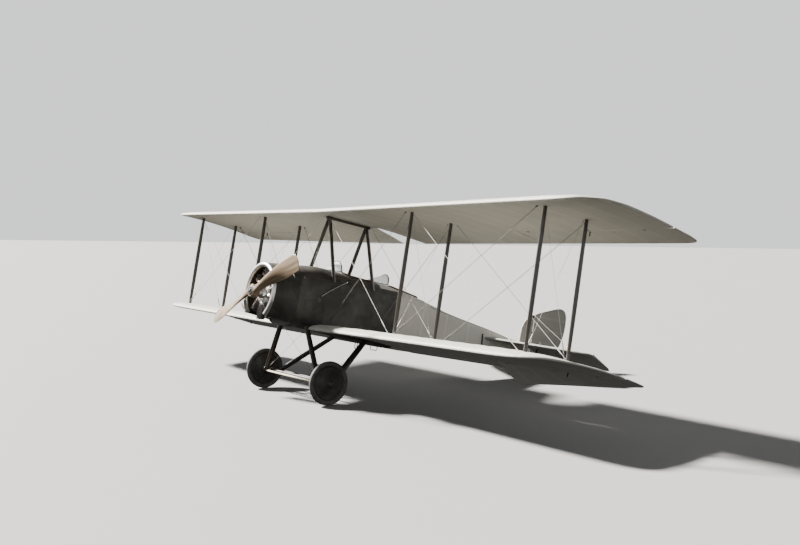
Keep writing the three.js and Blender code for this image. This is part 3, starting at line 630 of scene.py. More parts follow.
def horn(foot, reach, wide=34):
    # A control horn: a tapered plate on both faces of a surface, with its eye bolts
    foot = Vector(foot)
    plate = [(-wide, 6), (4, 6), (-2, reach), (-10, reach + 5), (-18, reach)]
    parts = []
    for way in (1, -1):
        outline = [(foot.x + along, foot.z + way * up) for along, up in plate[::way]]
        parts.append(prism(outline, foot.y - 2, foot.y + 2, 1))
        eye = foot + Vector((-10, 0, way * (reach - 6)))
        parts.append(tube([eye - Vector((0, 7, 0)), eye + Vector((0, 7, 0))], 4, 8))
    return merged(*parts)


# Wings
wing = {
    "chord": 2000, "edgeX": 285, "incidence": 2.8, "dihedral": 0.5, "upperZ": 1718, "lowerZ": -94,
    "upperSpan": 5705, "lowerSpan": 5320, "lowerRoot": 430, "hingeX": -1190, "hingeGap": 22,
    "aileronInner": 3060, "droop": 22, "sag": 8, "chordSteps": 26, "baySteps": 4, "hornY": 4350,
    "cutInner": 110, "cutOuter": 310, "cutFront": -860, "cutSlope": 940 / 220,
}
# Square root of the chord fraction, camber line, half thickness, as fractions of the chord
wingSection = [[math.sqrt(fraction), camber, half] for fraction, camber, half in (
    (0, 0.0, 0.0), (0.0125, 0.005, 0.015), (0.05, 0.0145, 0.0225), (0.1, 0.024, 0.028), (0.2, 0.033, 0.029),
    (0.35, 0.038, 0.026), (0.5, 0.037, 0.021), (0.65, 0.03, 0.015), (0.8, 0.019, 0.009), (0.92, 0.008, 0.005),
    (1, 0.0, 0.0018))]
# Wing tips: step, distance in from the half span, leading edge, trailing edge, thickness share
tipTables = {
    "upper": [
        [0, 840, 285, -1715, 1], [1, 505, 275, -1715, 0.88], [2, 305, 215, -1715, 0.7],
        [3, 193, 110, -1712, 0.56], [4, 102, 10, -1695, 0.42], [5, 71, -102, -1680, 0.36],
        [6, 47, -300, -1665, 0.3], [7, 36, -800, -1650, 0.24], [8, 15, -1300, -1615, 0.15],
        [9, 0, -1450, -1560, 0.1],
    ],
    "lower": [
        [0, 840, 285, -1715, 1], [1, 500, 262, -1715, 0.88], [2, 290, 185, -1705, 0.66],
        [3, 160, 30, -1670, 0.42], [4, 85, -420, -1610, 0.26], [5, 30, -900, -1550, 0.16],
        [6, 0, -1240, -1480, 0.1],
    ],
}


def camberZ(x, y, edgeZ):
    fraction = min(1, max(0, (wing["edgeX"] - x) / wing["chord"]))
    rise = wing["chord"] * through(wingSection, math.sqrt(fraction))[0]
    slope = math.tan(math.radians(wing["incidence"])) * (wing["edgeX"] - x)
    return edgeZ - slope + rise + abs(y) * math.tan(math.radians(wing["dihedral"]))


def wingRing(y, front, back, share, edgeZ, cutFront, cutBack, nose=0):
    # One rib's outline, cut at two stations, whose cloth sinks between the ribs
    steps = wing["chordSteps"]
    bay = math.sin(math.pi * abs(y) / 1000 / linen["ribPitch"]) ** 2
    top, bottom = [], []
    for i in range(steps + 1):
        x = cutFront + (cutBack - cutFront) * i / steps
        if cutFront >= front:  # stations keep their places where a panel is cut short, so its skin stays even
            x = max(cutBack, front + (back - front) * (1 - math.cos(math.pi / 2 * i / steps)))
        fraction = min(1, max(0, (front - x) / (front - back)))
        half = through(wingSection, math.sqrt(fraction))[1] * wing["chord"] * share
        sink = wing["sag"] * bay * min(1, half / 24) * min(1, 9 * fraction)
        z = camberZ(x, y, edgeZ)
        top.append((x, y, z + half - sink))
        bottom.append((x, y, z - half + sink * 0.8))
    half = (top[0][2] - bottom[0][2]) / 2
    middle = (top[0][2] + bottom[0][2]) / 2
    rounded = [(cutFront + nose * math.sin(a), y, middle + half * math.cos(a))
               for a in spaced(0, math.pi, 8)[1:-1]] if nose else []
    return top[::-1] + rounded + bottom[(0 if cutFront < front else 1):]


def tipStation(level, y):
    # Leading edge, trailing edge and thickness share at y, where the table's step is found by halving
    table = tipTables[level]
    inset = wing[level + "Span"] - abs(y)
    if inset >= table[0][1]:
        return table[0][2:]
    low, high = 0.0, float(len(table) - 1)
    for _ in range(30):
        middle = (low + high) / 2
        if through(table, middle)[0] > inset:
            low = middle
        else:
            high = middle
    return through(table, low)[1:]


def spanSteps(start, level):
    span = wing[level + "Span"]
    pitch = linen["ribPitch"] * 1000 / wing["baySteps"]
    steps = [start]
    k = math.floor(start / pitch) + 1
    while k * pitch < span - 300:
        if k * pitch > start + 5:
            steps.append(k * pitch)
        k += 1
    insets = (290, 240, 193, 150, 120, 102, 85, 71, 60, 52, 47, 42, 38, 36, 30, 24, 18, 12, 6, 3)
    return steps + [span - inset for inset in insets if span - inset > start]


def trailingCut(y, level, trailing):
    # The upper wing is cut away over the pilots' heads
    if level == "lower" or abs(y) >= wing["cutOuter"]:
        return trailing
    return wing["cutFront"] - max(0, abs(y) - wing["cutInner"]) * wing["cutSlope"]


def wingPanel(side, level):
    edgeZ, inboard = wing[level + "Z"], wing["aileronInner"]
    root = 0.15 if level == "upper" else wing["lowerRoot"]
    inner = [y for y in spanSteps(root, level) if y < inboard - 14]
    if level == "upper":
        inner = sorted(set(inner + [wing["cutInner"], 180, 250, wing["cutOuter"]]))
    rings = []
    for y in inner + [inboard - 12]:
        front, back, share = tipStation(level, y)
        rings.append(wingRing(side * y, front, back, share, edgeZ, front, trailingCut(y, level, back)))
    wall = wing["hingeX"] + wing["hingeGap"]
    for y in [inboard - 11.5] + spanSteps(inboard, level):
        front, back, share = tipStation(level, y)
        if front > wall + 12:
            rings.append(wingRing(side * y, front, back, share, edgeZ, front, wall))
    shape = loft(rings)
    bmesh.ops.remove_doubles(shape, verts=shape.verts[:], dist=0.01)
    return shape


def aileronPanel(side, level):
    rings = []
    for y in spanSteps(wing["aileronInner"], level):
        front, back, share = tipStation(level, y)
        start = min(wing["hingeX"], front - 4)
        nose = 15 * min(1, share * 1.2)
        rings.append(wingRing(side * y, front + 0.01, back, share, wing[level + "Z"], start, back, nose))
    return hung(loft(rings), side, level)


def drooped(point):
    # The port lower aileron hangs from its outer end, so its inner end droops
    share = 1 - (abs(point.y) - wing["aileronInner"]) / (wing["lowerSpan"] - 250 - wing["aileronInner"])
    angle = -math.radians(wing["droop"]) * min(1, max(0, share))
    hinge = Vector((wing["hingeX"], point.y, camberZ(wing["hingeX"], point.y, wing["lowerZ"])))
    return hinge + Matrix.Rotation(angle, 3, "Y") @ (point - hinge)


def hung(shape, side, level):
    if level == "lower" and side > 0:
        for vertex in shape.verts:
            vertex.co = drooped(vertex.co)
    return shape


def hingeBlocks(x, y, z):
    # A hinge pin across the gap, its block on the wing's wall, and the strap under it
    return merged(tube([(x, y - 13, z), (x, y + 13, z)], 8, 12),
                  block((x - 1, y - 11, z - 9), (x + 40, y + 11, z + 9), 3),
                  block((x + 20, y - 15, z - 31), (x + 62, y + 15, z - 27), 1))


def buildWingSkins(sideName, side, level):
    panel = f"wing_{level}_{sideName}"
    addPiece(panel + "_skin", wingPanel(side, level), "wing", stands=(panel,), angle=50)
    aileron = f"aileron_{level}_{sideName}"
    addPiece(aileron + "_skin", aileronPanel(side, level), "wing", aileron, (aileron,), 50)


def buildWingFittings(sideName, side, level):
    # Hinges in the aileron's gap, and the control horn under and over it
    edgeZ, span, hingeX = wing[level + "Z"], wing[level + "Span"], wing["hingeX"]
    stations = (wing["aileronInner"] + 240, (wing["aileronInner"] + span) / 2, span - 420)
    hinges = [hingeBlocks(hingeX, side * y, camberZ(hingeX, y, edgeZ)) for y in stations]
    addPiece(f"aileron_hinges_{level}_{sideName}", merged(*hinges), "fitting", angle=40)
    foot = (hingeX - 30, side * wing["hornY"], camberZ(hingeX - 40, wing["hornY"], edgeZ))
    lever = hung(horn(foot, 74, 22), side, level)
    addPiece(f"aileron_horn_{level}_{sideName}", lever, "fitting", f"aileron_{level}_{sideName}", angle=40)


for build in (buildWingSkins, buildWingFittings):
    for sideName, side in sides:
        for level in ("upper", "lower"):
            build(sideName, side, level)
print("wings covered")

# Fuselage: x, half width, bottom, widest height, crest, upper and lower roundness
bodyTable = [
    [1000, 447, -122, 325, 772, 2, 2], [800, 459, -134, 325, 800, 2.1, 2.2],
    [560, 459, -112, 325, 822, 2.6, 3.2], [144, 459, -104, 325, 872, 3.2, 6],
    [-340, 459, -122, 325, 858, 3.4, 9], [-900, 459, -166, 320, 832, 3.4, 9],
    [-1300, 450, -180, 310, 806, 3.6, 9], [-1750, 395, -187, 290, 730, 5, 9],
    [-2000, 364, -155, 280, 640, 8, 9], [-2600, 290, -87, 262, 562, 9, 9],
    [-3550, 174, 20, 235, 449, 9, 9], [-4150, 100, 88, 225, 357, 9, 9], [-4700, 32, 150, 220, 290, 9, 9],
]
# Stations and heights of the parts of the hull, and each cockpit's front, rear and half width
hull = {
    "sides": 144, "step": 60, "wall": 26, "lip": 976, "cowlRear": 560, "cover": -1300, "stern": -4700,
    "hollowEnd": -1900, "lidEnd": -1980, "deck": 680, "thrustZ": 325, "far": 3000,
    "cockpits": ((-290, -850, 285), (-1235, -1790, 270)),
}


def bodyRing(x, inset=0.0):
    half, bottom, middle, crest, upper, lower = through(bodyTable, x)
    ring = []
    for angle in around(hull["sides"]):
        c, s = math.cos(angle), math.sin(angle)
        power = upper if s >= 0 else lower
        reach = (crest - middle if s >= 0 else middle - bottom) - inset
        scale = (abs(c) ** power + abs(s) ** power) ** (-1 / power)
        ring.append((x, (half - inset) * c * scale, middle + reach * s * scale))
    return ring


def crestAt(x):
    return through(bodyTable, x)[3]


def deckTop(x, y):
    half, _, middle, crest, power, _ = through(bodyTable, x)
    return middle + (crest - middle) * max(0.0, 1 - min(1, abs(y) / half) ** power) ** (1 / power)


def bodyLoft(front, rear, inset=0.0):
    steps = max(2, round((front - rear) / hull["step"]))
    return loft([bodyRing(x, inset) for x in spaced(front, rear, steps)])


def roundedOpening(front, rear, half, radius=110):
    outline = []
    for cx, cy, start in ((front - radius, half - radius, 0), (rear + radius, half - radius, 90),
                          (rear + radius, radius - half, 180), (front - radius, radius - half, 270)):
        for angle in spaced(math.radians(start), math.radians(start + 90), 8):
            outline.append((cx + radius * math.cos(angle), cy + radius * math.sin(angle)))
    return outline


def headrest():
    # Half width and top of the fairing along x; its foot rests on the deck and sinks into the body behind it
    stations = [[-1785, 235, 740], [-1900, 200, 726], [-2100, 150, 694], [-2350, 90, 652], [-2600, 30, 600]]
    rings = []
    for x in spaced(stations[0][0], stations[-1][0], 24):
        half, top = through(stations, x)
        base = hull["deck"] + 0.5 if x > -1990 else crestAt(x) - 4
        rings.append([(x, half * math.cos(a), base + (top - base) * math.sin(a) ** 0.8)
                      for a in spaced(0, math.pi, 24)])
    return loft(rings)


def cutBox(front, rear, low, high):
    return block((rear, -1000, low), (front, 1000, high))


def buildBody():
    # Front half and rear half, each split at the deck's height into a tub and a decking
    deck, far, cover = hull["deck"], hull["far"], hull["cover"]
    lidFront, gap = cover + 10, 0.3
    openings = [prism(roundedOpening(*cockpit), deck - 60, 1200) for cockpit in hull["cockpits"]]
    shell = carved(bodyLoft(hull["cowlRear"], cover + gap),
                   ("DIFFERENCE", bodyLoft(hull["cowlRear"] + 1, cover - 1, hull["wall"])))
    tub = carved(shell, ("INTERSECT", cutBox(far, -2 * far, -far, deck)))
    addPiece("fuselage_front_cover", tub, "darkFabric", stands=("fuselage_front",))
    lid = carved(shell, ("INTERSECT", cutBox(far, -2 * far, deck + gap, far)),
                 *(("DIFFERENCE", opening) for opening in openings))
    addPiece("decking_front_cover", lid, "deck", stands=("decking_front",))
    shell = carved(bodyLoft(cover, hull["stern"]),
                   ("DIFFERENCE", bodyLoft(cover + 1, hull["hollowEnd"], hull["wall"])))
    tub = carved(shell, ("DIFFERENCE", cutBox(lidFront, hull["lidEnd"], deck, far)))
    addPiece("fuselage_rear_cover", tub, "body", stands=("fuselage_rear",))
    lid = carved(shell, ("INTERSECT", cutBox(lidFront, hull["lidEnd"], deck + gap, far)),
                 ("UNION", headrest()), ("DIFFERENCE", openings[1]))
    addPiece("decking_rear_cover", lid, "body", stands=("decking_rear",))


def deckFinish():
    # Dark, with a pale strip painted along the crest behind the rear cockpit's front: painted sunlight on the
    # decking's top
    finish = darkPaint("deckingPaint", "dark_fabric", 0.34)
    darkTone = Channel(finish, finish.shader.inputs["Base Color"].links[0].from_socket)
    # Mask of the painted sunlight: the crest above a height, aft of a station
    behind = 1 - finish.grade(finish.axis("X"), levelStart.x - 0.935, levelStart.x - 0.925)
    behind = behind * finish.grade(finish.axis("Z"), levelStart.z + 0.735, levelStart.z + 0.742)
    pale = finish.mix(finish.noise(2.0), (0.54, 0.52, 0.46), (0.66, 0.64, 0.58))
    return finish.give(Base_Color=finish.mix(behind, darkTone, pale))


# Where the drawn origin falls on a finish's own level axes, in metres
levelStart = pitchUp.to_3x3().transposed() @ parked.translation
finishes["deck"] = deckFinish()
buildBody()


def bodySide(x, z, side=1, proud=1.0):
    # The point of the body's flank at one height
    half, bottom, middle, crest, upper, lower = through(bodyTable, x)
    reach, power = (crest - middle, upper) if z >= middle else (middle - bottom, lower)
    share = min(1, abs(z - middle) / reach)
    return Vector((x, side * (half * (1 - share**power) ** (1 / power) + proud), z))


def seam(side, points, radius=2.6):
    return tube([bodySide(x, z, side) for x, z in points], radius, 6)


def straight(start, stop, steps):
    return list(zip(spaced(start[0], stop[0], steps), spaced(start[1], stop[1], steps)))


# Panel lines from one point of the flank to another, and the small things along the body
bodyTrim = {
    "panelLines": (((449, 319), (157, 368)), ((157, 368), (120, 190)), ((120, 190), (413, 143)),
                   ((413, 143), (449, 319)), ((160, 537), (89, 195)), ((552, 60), (552, 700)),
                   ((-1296, -120), (-1296, 660))),
    "screwAhead": 14, "edgeFoot": 292, "filler": (209, 461, 360), "catches": ((668, 672, 60), (500, 660, 20)),
    "pipe": [(-256, 432, 716), (-248, 444, 704), (-120, 466, 640), (60, 470, 520), (160, 470, 440),
             (178, 466, 424)],
    "stitches": 150, "stitchPitch": 21, "firstStitch": -1330,
}


def buildBodyDetails():
    seams, edges, screws = [], [], []
    for _, side in sides:
        for start, stop in bodyTrim["panelLines"]:
            seams.append(seam(side, straight(start, stop, 16)))
            for x, z in straight(start, stop, 12)[1:-1]:
                screws.append(facing(bodySide(x + bodyTrim["screwAhead"], z, side, 0), (0, side, 0)))
        rearEdge = [(x, 0.92 * crestAt(x) + 0.08 * bodyTrim["edgeFoot"]) for x in spaced(-2010, -4540, 23)]
        edges.append(seam(side, rearEdge, 5))
        edges.append(seam(side, [(x, hull["deck"] + 1) for x in spaced(540, -1265, 19)], 4))
    addPiece("body_seams", merged(*seams), "cowl", angle=60)
    addPiece("body_edge_battens", merged(*edges), "strut", angle=60)
    addPiece("body_screws", repeated(bolt(2.6, 2.6, 12), screws, "fitting"), "fitting")
    rear = hull["cowlRear"]
    band = loft([bodyRing(x, -1.6) for x in (rear, rear - 4, rear - 30, rear - 34)], capped=False)
    bmesh.ops.solidify(band, geom=band.faces[:], thickness=2.4)
    addPiece("cowl_band", band, "fitting", angle=40)
    addPiece("body_pipe", tube(bodyTrim["pipe"], 6.5, 12), "steel", angle=60)
    filler = [(0, -4), (34, -4), (34, 4), (26, 8), (12, 8), (10, 18), (0, 18)]
    addPiece("body_filler", lathe(filler, bodyTrim["filler"], (0, 1, 0), 28), "fitting", angle=40)
    handles = []
    for x, z, drop in bodyTrim["catches"]:
        middle = bodySide(x - 8, z - drop * 0.5, 1, 12)
        handles.append(tube([bodySide(x, z, 1, 2), middle, bodySide(x - 14, z - drop, 1, 2)], 5, 8))
    addPiece("cowl_catches", merged(*handles), "steel", angle=60)
    stitch = tube([(0, -9, 0), (0, -4, 2.6), (0, 4, 2.6), (0, 9, 0)], 1.6, 6)
    stitches = []
    for i in range(bodyTrim["stitches"]):
        x = bodyTrim["firstStitch"] - bodyTrim["stitchPitch"] * i
        stitches.append(facing((x, 0, through(bodyTable, x)[1] - 0.6), (0, 0, -1), (0, 1, 0)))
    addPiece("body_lacing", repeated(stitch, stitches, "cord"), "cord")


buildBodyDetails()
print("fuselage covered")

# Cowl with its rolled lip, open below over this many degrees each way
cowl = {"lipRadius": 34, "lipCentre": 424, "gap": 42, "wall": 18, "wedge": 620, "wedgeEnds": (550, 1060)}


def buildCowl():
    lip, thrustZ, deep = hull["lip"], hull["thrustZ"], cowl["wedge"]
    outer = bodyLoft(lip, hull["cowlRear"] + 0.3)
    inner = bodyLoft(lip + 26, hull["cowlRear"] - 1, cowl["wall"])
    spread = deep * math.tan(math.radians(cowl["gap"]))
    corners = ((0, 0), (spread, -deep), (-spread, -deep))
    wedge = loft([[(x, y, thrustZ + z) for y, z in corners] for x in cowl["wedgeEnds"]])
    shell = carved(outer, ("DIFFERENCE", inner), ("DIFFERENCE", wedge))
    addPiece("cowl_shell", shell, "cowl", stands=("cowl",))
    path = []
    for angle in spaced(math.radians(cowl["gap"] - 90), math.radians(270 - cowl["gap"]), 96):
        path.append((lip, cowl["lipCentre"] * math.cos(angle), thrustZ + cowl["lipCentre"] * math.sin(angle)))
    addPiece("cowl_lip", tube(path, cowl["lipRadius"], 24), "lip", angle=60)


buildCowl()
print("cowl made")


def wireWithBuckle(foot, head, radius=2.6, twin=0.0, at=190):
    # A swaged wire, or a pair of them, with a turnbuckle and fork near its foot
    foot, head = Vector(foot), Vector(head)
    axis = (head - foot).normalized()
    aside = Vector((1, 0, 0)) * twin / 2
    parts = []
    for shift in ((aside, -aside) if twin else (aside,)):
        low, high = foot + shift, head + shift
        middle = low + axis * at
        path = [middle + axis * d for d in (-85, -70, -45, 0, 45, 70, 85)]
        parts += [tube([low, high], radius, 8), tube(path, [3, 5, 7, 8, 7, 5, 3], 10)]
        for end, way in ((low, 1), (high, -1)):
            parts.append(tube([end, end + axis * 34 * way], 6, 8))
    return merged(*parts)


# Struts: streamlined spruce with steel sockets
strut = {
    "chord": 74, "thick": 36, "rake": -44, "rearX": -712, "inner": 2160, "outer": 4755, "socket": (58, 31),
    "wingGap": 34,
}
# Each pair of cabane legs: top x, foot x, and how far its apex lies under the upper wing's camber line
cabane = {"front": (0, -20, 92), "rear": (strut["rearX"], -760, 76), "footY": 425, "footZ": 668, "apexY": 16}
streamline = [
    (0.5, 0), (0.488, 0.12), (0.455, 0.25), (0.40, 0.36), (0.31, 0.455), (0.2, 0.497), (0.08, 0.5),
    (-0.06, 0.452), (-0.2, 0.365), (-0.33, 0.235), (-0.44, 0.095), (-0.5, 0),
]


def faired(foot, head, chord, thick, taper=0.3, steps=16):
    # A streamlined bar from foot to head that is thinner at its ends
    foot, head = Vector(foot), Vector(head)
    axis = (head - foot).normalized()
    ahead = Vector((1, 0, 0))
    ahead = (ahead - axis * ahead.dot(axis)).normalized()
    across = axis.cross(ahead)
    outline = streamline + [(x, -y) for x, y in reversed(streamline[1:-1])]
    rings = []
    for t in spaced(0, 1, steps):
        size = 1 - taper + taper * math.sin(math.pi * t) ** 0.7
        middle = foot.lerp(head, t)
        rings.append([middle + ahead * (x * chord * size) + across * (y * thick * size) for x, y in outline])
    return loft(rings)


def strutSocket(place, towards, chord, thick, length=95):
    # A folded steel shoe round the end of a strut, with its bolt
    place = Vector(place)
    axis = (Vector(towards) - place).normalized()
    shoe = faired(place, place + axis * length, chord, thick, 0.0, 2)
    middle = place + axis * (length * 0.7)
    reach = Vector((0, thick * 0.62, 0))
    return merged(shoe, tube([middle - reach, middle + reach], 7, 8))


def buildStruts():
    for sideName, side in sides:
        for bay in ("inner", "outer"):
            for plane, x in (("front", 0), ("rear", strut["rearX"])):
                y = strut[bay]
                low = Vector((x + strut["rake"], side * y, camberZ(x, y, wing["lowerZ"]) + strut["wingGap"]))
                high = Vector((x, side * y, camberZ(x, y, wing["upperZ"]) - strut["wingGap"]))
                name = f"strut_{bay}_{plane}_{sideName}"
                spar = faired(low, high, strut["chord"], strut["thick"])
                addPiece(name + "_spruce", spar, "strut", stands=(name,))
                ends = [strutSocket(a, b, *strut["socket"]) for a, b in ((low, high), (high, low))]
                addPiece(name + "_sockets", merged(*ends), "fitting")
        for plane in ("front", "rear"):
            topX, footX, drop = cabane[plane]
            foot = Vector((footX, side * cabane["footY"], cabane["footZ"]))
            head = Vector((topX, side * cabane["apexY"], camberZ(topX, 0, wing["upperZ"]) - drop))
            name = f"cabane_{plane}_{sideName}"
            addPiece(name + "_tube", faired(foot, head, 70, 36, 0.12), "strut", stands=(name,))


buildStruts()
print("struts made")

# Tail surfaces
tail = {
    "z": 292, "hingeX": -4560, "gap": 22, "droop": 22, "rudderX": -4728, "root": 45, "span": 1700,
    "ribPitch": 290, "sag": 4, "inner": 74, "hinges": (150, 520, 900, 1280),
    "rudderHinges": (175, 560, 800), "tape": 7,
}
# Distance out, leading edge, greatest thickness
tailplaneTable = [[0, -3280, 64], [1450, -4262, 52], [1620, -4400, 40], [1680, -4440, 30], [1700, -4490, 22]]
# Distance out, trailing edge
elevatorTable = [
    [74, -4700], [290, -5110], [420, -5140], [1540, -5145], [1640, -5132], [1685, -5090], [1700, -5030],
]


def panelRing(y, front, back, halves, sharp):
    # Half heights run from the front edge to the rear one, and a panel's front is sharp or has a round nose
    bay = math.sin(math.pi * abs(y) / tail["ribPitch"]) ** 2
    top, bottom = [], []
    for share in spaced(0, 1, 18):
        f = 1 - math.cos(math.pi / 2 * share) if sharp else share
        half = through(halves, f)[0]
        half -= tail["sag"] * bay * math.sin(math.pi * f) * min(1, half / 14)
        x = front + (back - front) * f
        top.append((x, y, tail["z"] + half))
        bottom.append((x, y, tail["z"] - half))
    if sharp:
        return top[::-1] + bottom[1:]
    half = top[0][2] - tail["z"]
    turns = spaced(0, math.pi, 8)[1:-1]
    nose = [(front + 12 * math.sin(a), y, tail["z"] + half * math.cos(a)) for a in turns]
    return top[::-1] + nose + bottom


def buildTailplane(sideName, side):
    rings = []
    for y in spaced(tail["root"], tail["span"], 34):
        front, deep = through(tailplaneTable, y)
        halves = [[0, 0], [0.03, 0.3 * deep], [0.15, 0.5 * deep], [0.5, 0.45 * deep], [1, 0.31 * deep]]
        rings.append(panelRing(side * y, front, tail["hingeX"] + tail["gap"], halves, True))
    name = f"tailplane_{sideName}"
    addPiece(name + "_skin", loft(rings), "tail", stands=(name,), angle=50)


def drooping(shape):
    return pivoted(shape, (tail["hingeX"], 0, tail["z"]), -tail["droop"], "Y")


def buildElevator():
    # Both halves on the tube that joins them, hanging down as parked
    x, z, inner = tail["hingeX"], tail["z"], tail["inner"]
    halves, webs = [], []
    for _, side in sides:
        rings = []
        for y in [inner, 150, 220] + spaced(290, tail["span"], 28):
            back = through(elevatorTable, y)[0]
            rings.append(panelRing(side * y, x, back, [[0, 16], [0.3, 12.6], [1, 3.6]], False))
        halves.append(loft(rings))
        low, high = sorted((side * inner, side * (inner + 18)))
        webs.append(block((x - 30, low, z - 12), (x, high, z + 12)))
    joiner = tube([(x, -90, z), (x, 90, z)], 15, 16)
    whole = drooping(merged(*halves, joiner, *webs))
    addPiece("elevator_skin", whole, "tail", "elevator", ("elevator",), 50)


def smoothOutline(corners, keepSharp, steps=6):
    # A closed curve through the corners, with straight runs between sharp ones
    points = []
    count = len(corners)
    for i in range(count):
        a, b = Vector(corners[i]), Vector(corners[(i + 1) % count])
        before = a * 2 - b if i in keepSharp else Vector(corners[i - 1])
        after = b * 2 - a if (i + 1) % count in keepSharp else Vector(corners[(i + 2) % count])
        for t in spaced(0, 1, steps)[:-1]:
            points.append(0.5 * (2 * a + (b - before) * t + (2 * before - 5 * a + 4 * b - after) * t * t
                                 + (3 * a - before - 3 * b + after) * t**3))
    return points


def uprightSkin(outline, half, rim):
    # A fabric panel over a round-edged frame: rings run from the rim inwards on both faces
    count = len(outline)
    area = sum(outline[i - 1].x * outline[i].y - outline[i].x * outline[i - 1].y for i in range(count))
    normals = []
    for i in range(count):
        along = (outline[(i + 1) % count] - outline[i - 1]).normalized()
        normals.append(Vector((-along.y, along.x)) * math.copysign(1, area))
    levels = [(rim * inset, half * height) for inset, height in (
        (0, 0), (0.15, 0.5), (0.5, 0.86), (1, 1), (1.6, 0.94), (2.6, 0.80), (4.5, 0.78))]
    rings = []
    for face, run in ((1, levels[::-1]), (-1, levels[1:])):
        for inset, height in run:
            rings.append([(p.x + n.x * inset, face * height, p.y + n.y * inset)
                          for p, n in zip(outline, normals)])
    return loft(rings)


def edgeTape(line):
    return tube([(p.x, 0, p.y) for p in line], tail["tape"], 10)


def buildUprights():
    # Fin and rudder from their outlines in x and z, whose first corners are sharp
    x = tail["rudderX"]
    fin = smoothOutline([(x + 20, 200), (x + 20, 884), (-4610, 840), (-4525, 760), (-4470, 670), (-4442, 560),
                         (-4430, 290), (-4430, 200)], (0, 1, 7))
    rudder = smoothOutline([(x, 60), (x, 888), (-4830, 938), (-5035, 1010), (-5270, 1086), (-5400, 1100),
                            (-5490, 1060), (-5540, 960), (-5552, 820), (-5540, 640), (-5490, 460),
                            (-5400, 300), (-5250, 160), (-5040, 76)], (0, 1))
    addPiece("fin_skin", uprightSkin(fin, 17, 14), "upright", stands=("fin",), angle=50)
    addPiece("rudder_skin", uprightSkin(rudder, 18, 14), "upright", "rudder", ("rudder",), 50)
    post = tube([(x + 12, 0, 205), (x + 12, 0, 878)], tail["tape"], 12)
    addPiece("fin_edge_tape", merged(post, edgeTape(fin[6:43])), "tape", angle=60)
    addPiece("rudder_edge_tape", edgeTape(rudder[6:]), "tape", "rudder", angle=60)


for sideName, side in sides:
    buildTailplane(sideName, side)
buildElevator()
buildUprights()


def buildTailFittings():
    x, z, rudderX = tail["hingeX"], tail["z"], tail["rudderX"]
    posts, wires, clamps, hinges = [], [], [], []
    lift = Vector((0, 0, 4))
    for _, side in sides:
        ends = [bodySide(px, pz, side, 12) for px, pz in ((-3352, 352), (-3356, 292), (-3368, 150))]
        posts.append(tube(ends, [11, 13, 10], 12))
        above, below = Vector((-4480, side * 1290, z + 22)), Vector((-4420, side * 1180, z - 26))
        wires.append(wireWithBuckle(above, (-4708, side * 14, 872), 1.6, 0, 120))
        wires.append(wireWithBuckle((-4290, side * 62, 118), below, 1.6, 0, 120))
        clamps += [facing(above - lift, (0, 0, 1)), facing(below + lift, (0, 0, -1))]
        for y in (side * out for out in tail["hinges"]):
            hinges += [block((x + 1, y - 13, z + low), (x + 40, y + 13, z + low + 3), 1) for low in (-20, 17)]
            hinges.append(tube([(x, y - 16, z), (x, y + 16, z)], 6, 12))
    for height in tail["rudderHinges"]:
        hinges.append(tube([(rudderX, 0, height - 14), (rudderX, 0, height + 14)], 6, 12))
        hinges.append(block((rudderX + 6, -19, height - 11), (rudderX + 44, 19, height + 11), 2))
    addPiece("tail_posts", merged(*posts), "cowl", angle=60)
    addPiece("tail_wires", merged(*wires), "wire", angle=60)
    addPiece("tail_clamps", repeated(bolt(8, 9), clamps, "fitting"), "fitting")
    cap = tube([(-4640, 0, 812), (-4652, 0, 822), (-4700, 0, 862), (-4712, 0, 872)], [16, 24, 24, 16], 18)
    addPiece("fin_fitting", cap, "cowl", angle=60)
    addPiece("tail_hinges", merged(*hinges), "fitting", angle=40)
    horns = drooping(merged(*(horn((x - 34, side * 330, z), 118) for _, side in sides)))
    addPiece("elevator_horns", horns, "fitting", "elevator", angle=40)
    swing = Matrix.Translation((rudderX - 30, 0, 112)) @ Matrix.Rotation(math.pi / 2, 4, "X")
    addPiece("rudder_horn", turned(horn((0, 0, 0), 110), swing), "fitting", "rudder", angle=40)


buildTailFittings()
print("tail covered")

# Wheels: a tyre round a fabric cone on each side, laced along the rim
wheel = {"tyre": 40, "flat": 0.96, "spokes": 20, "laces": 48, "bore": 22, "hub": 78}


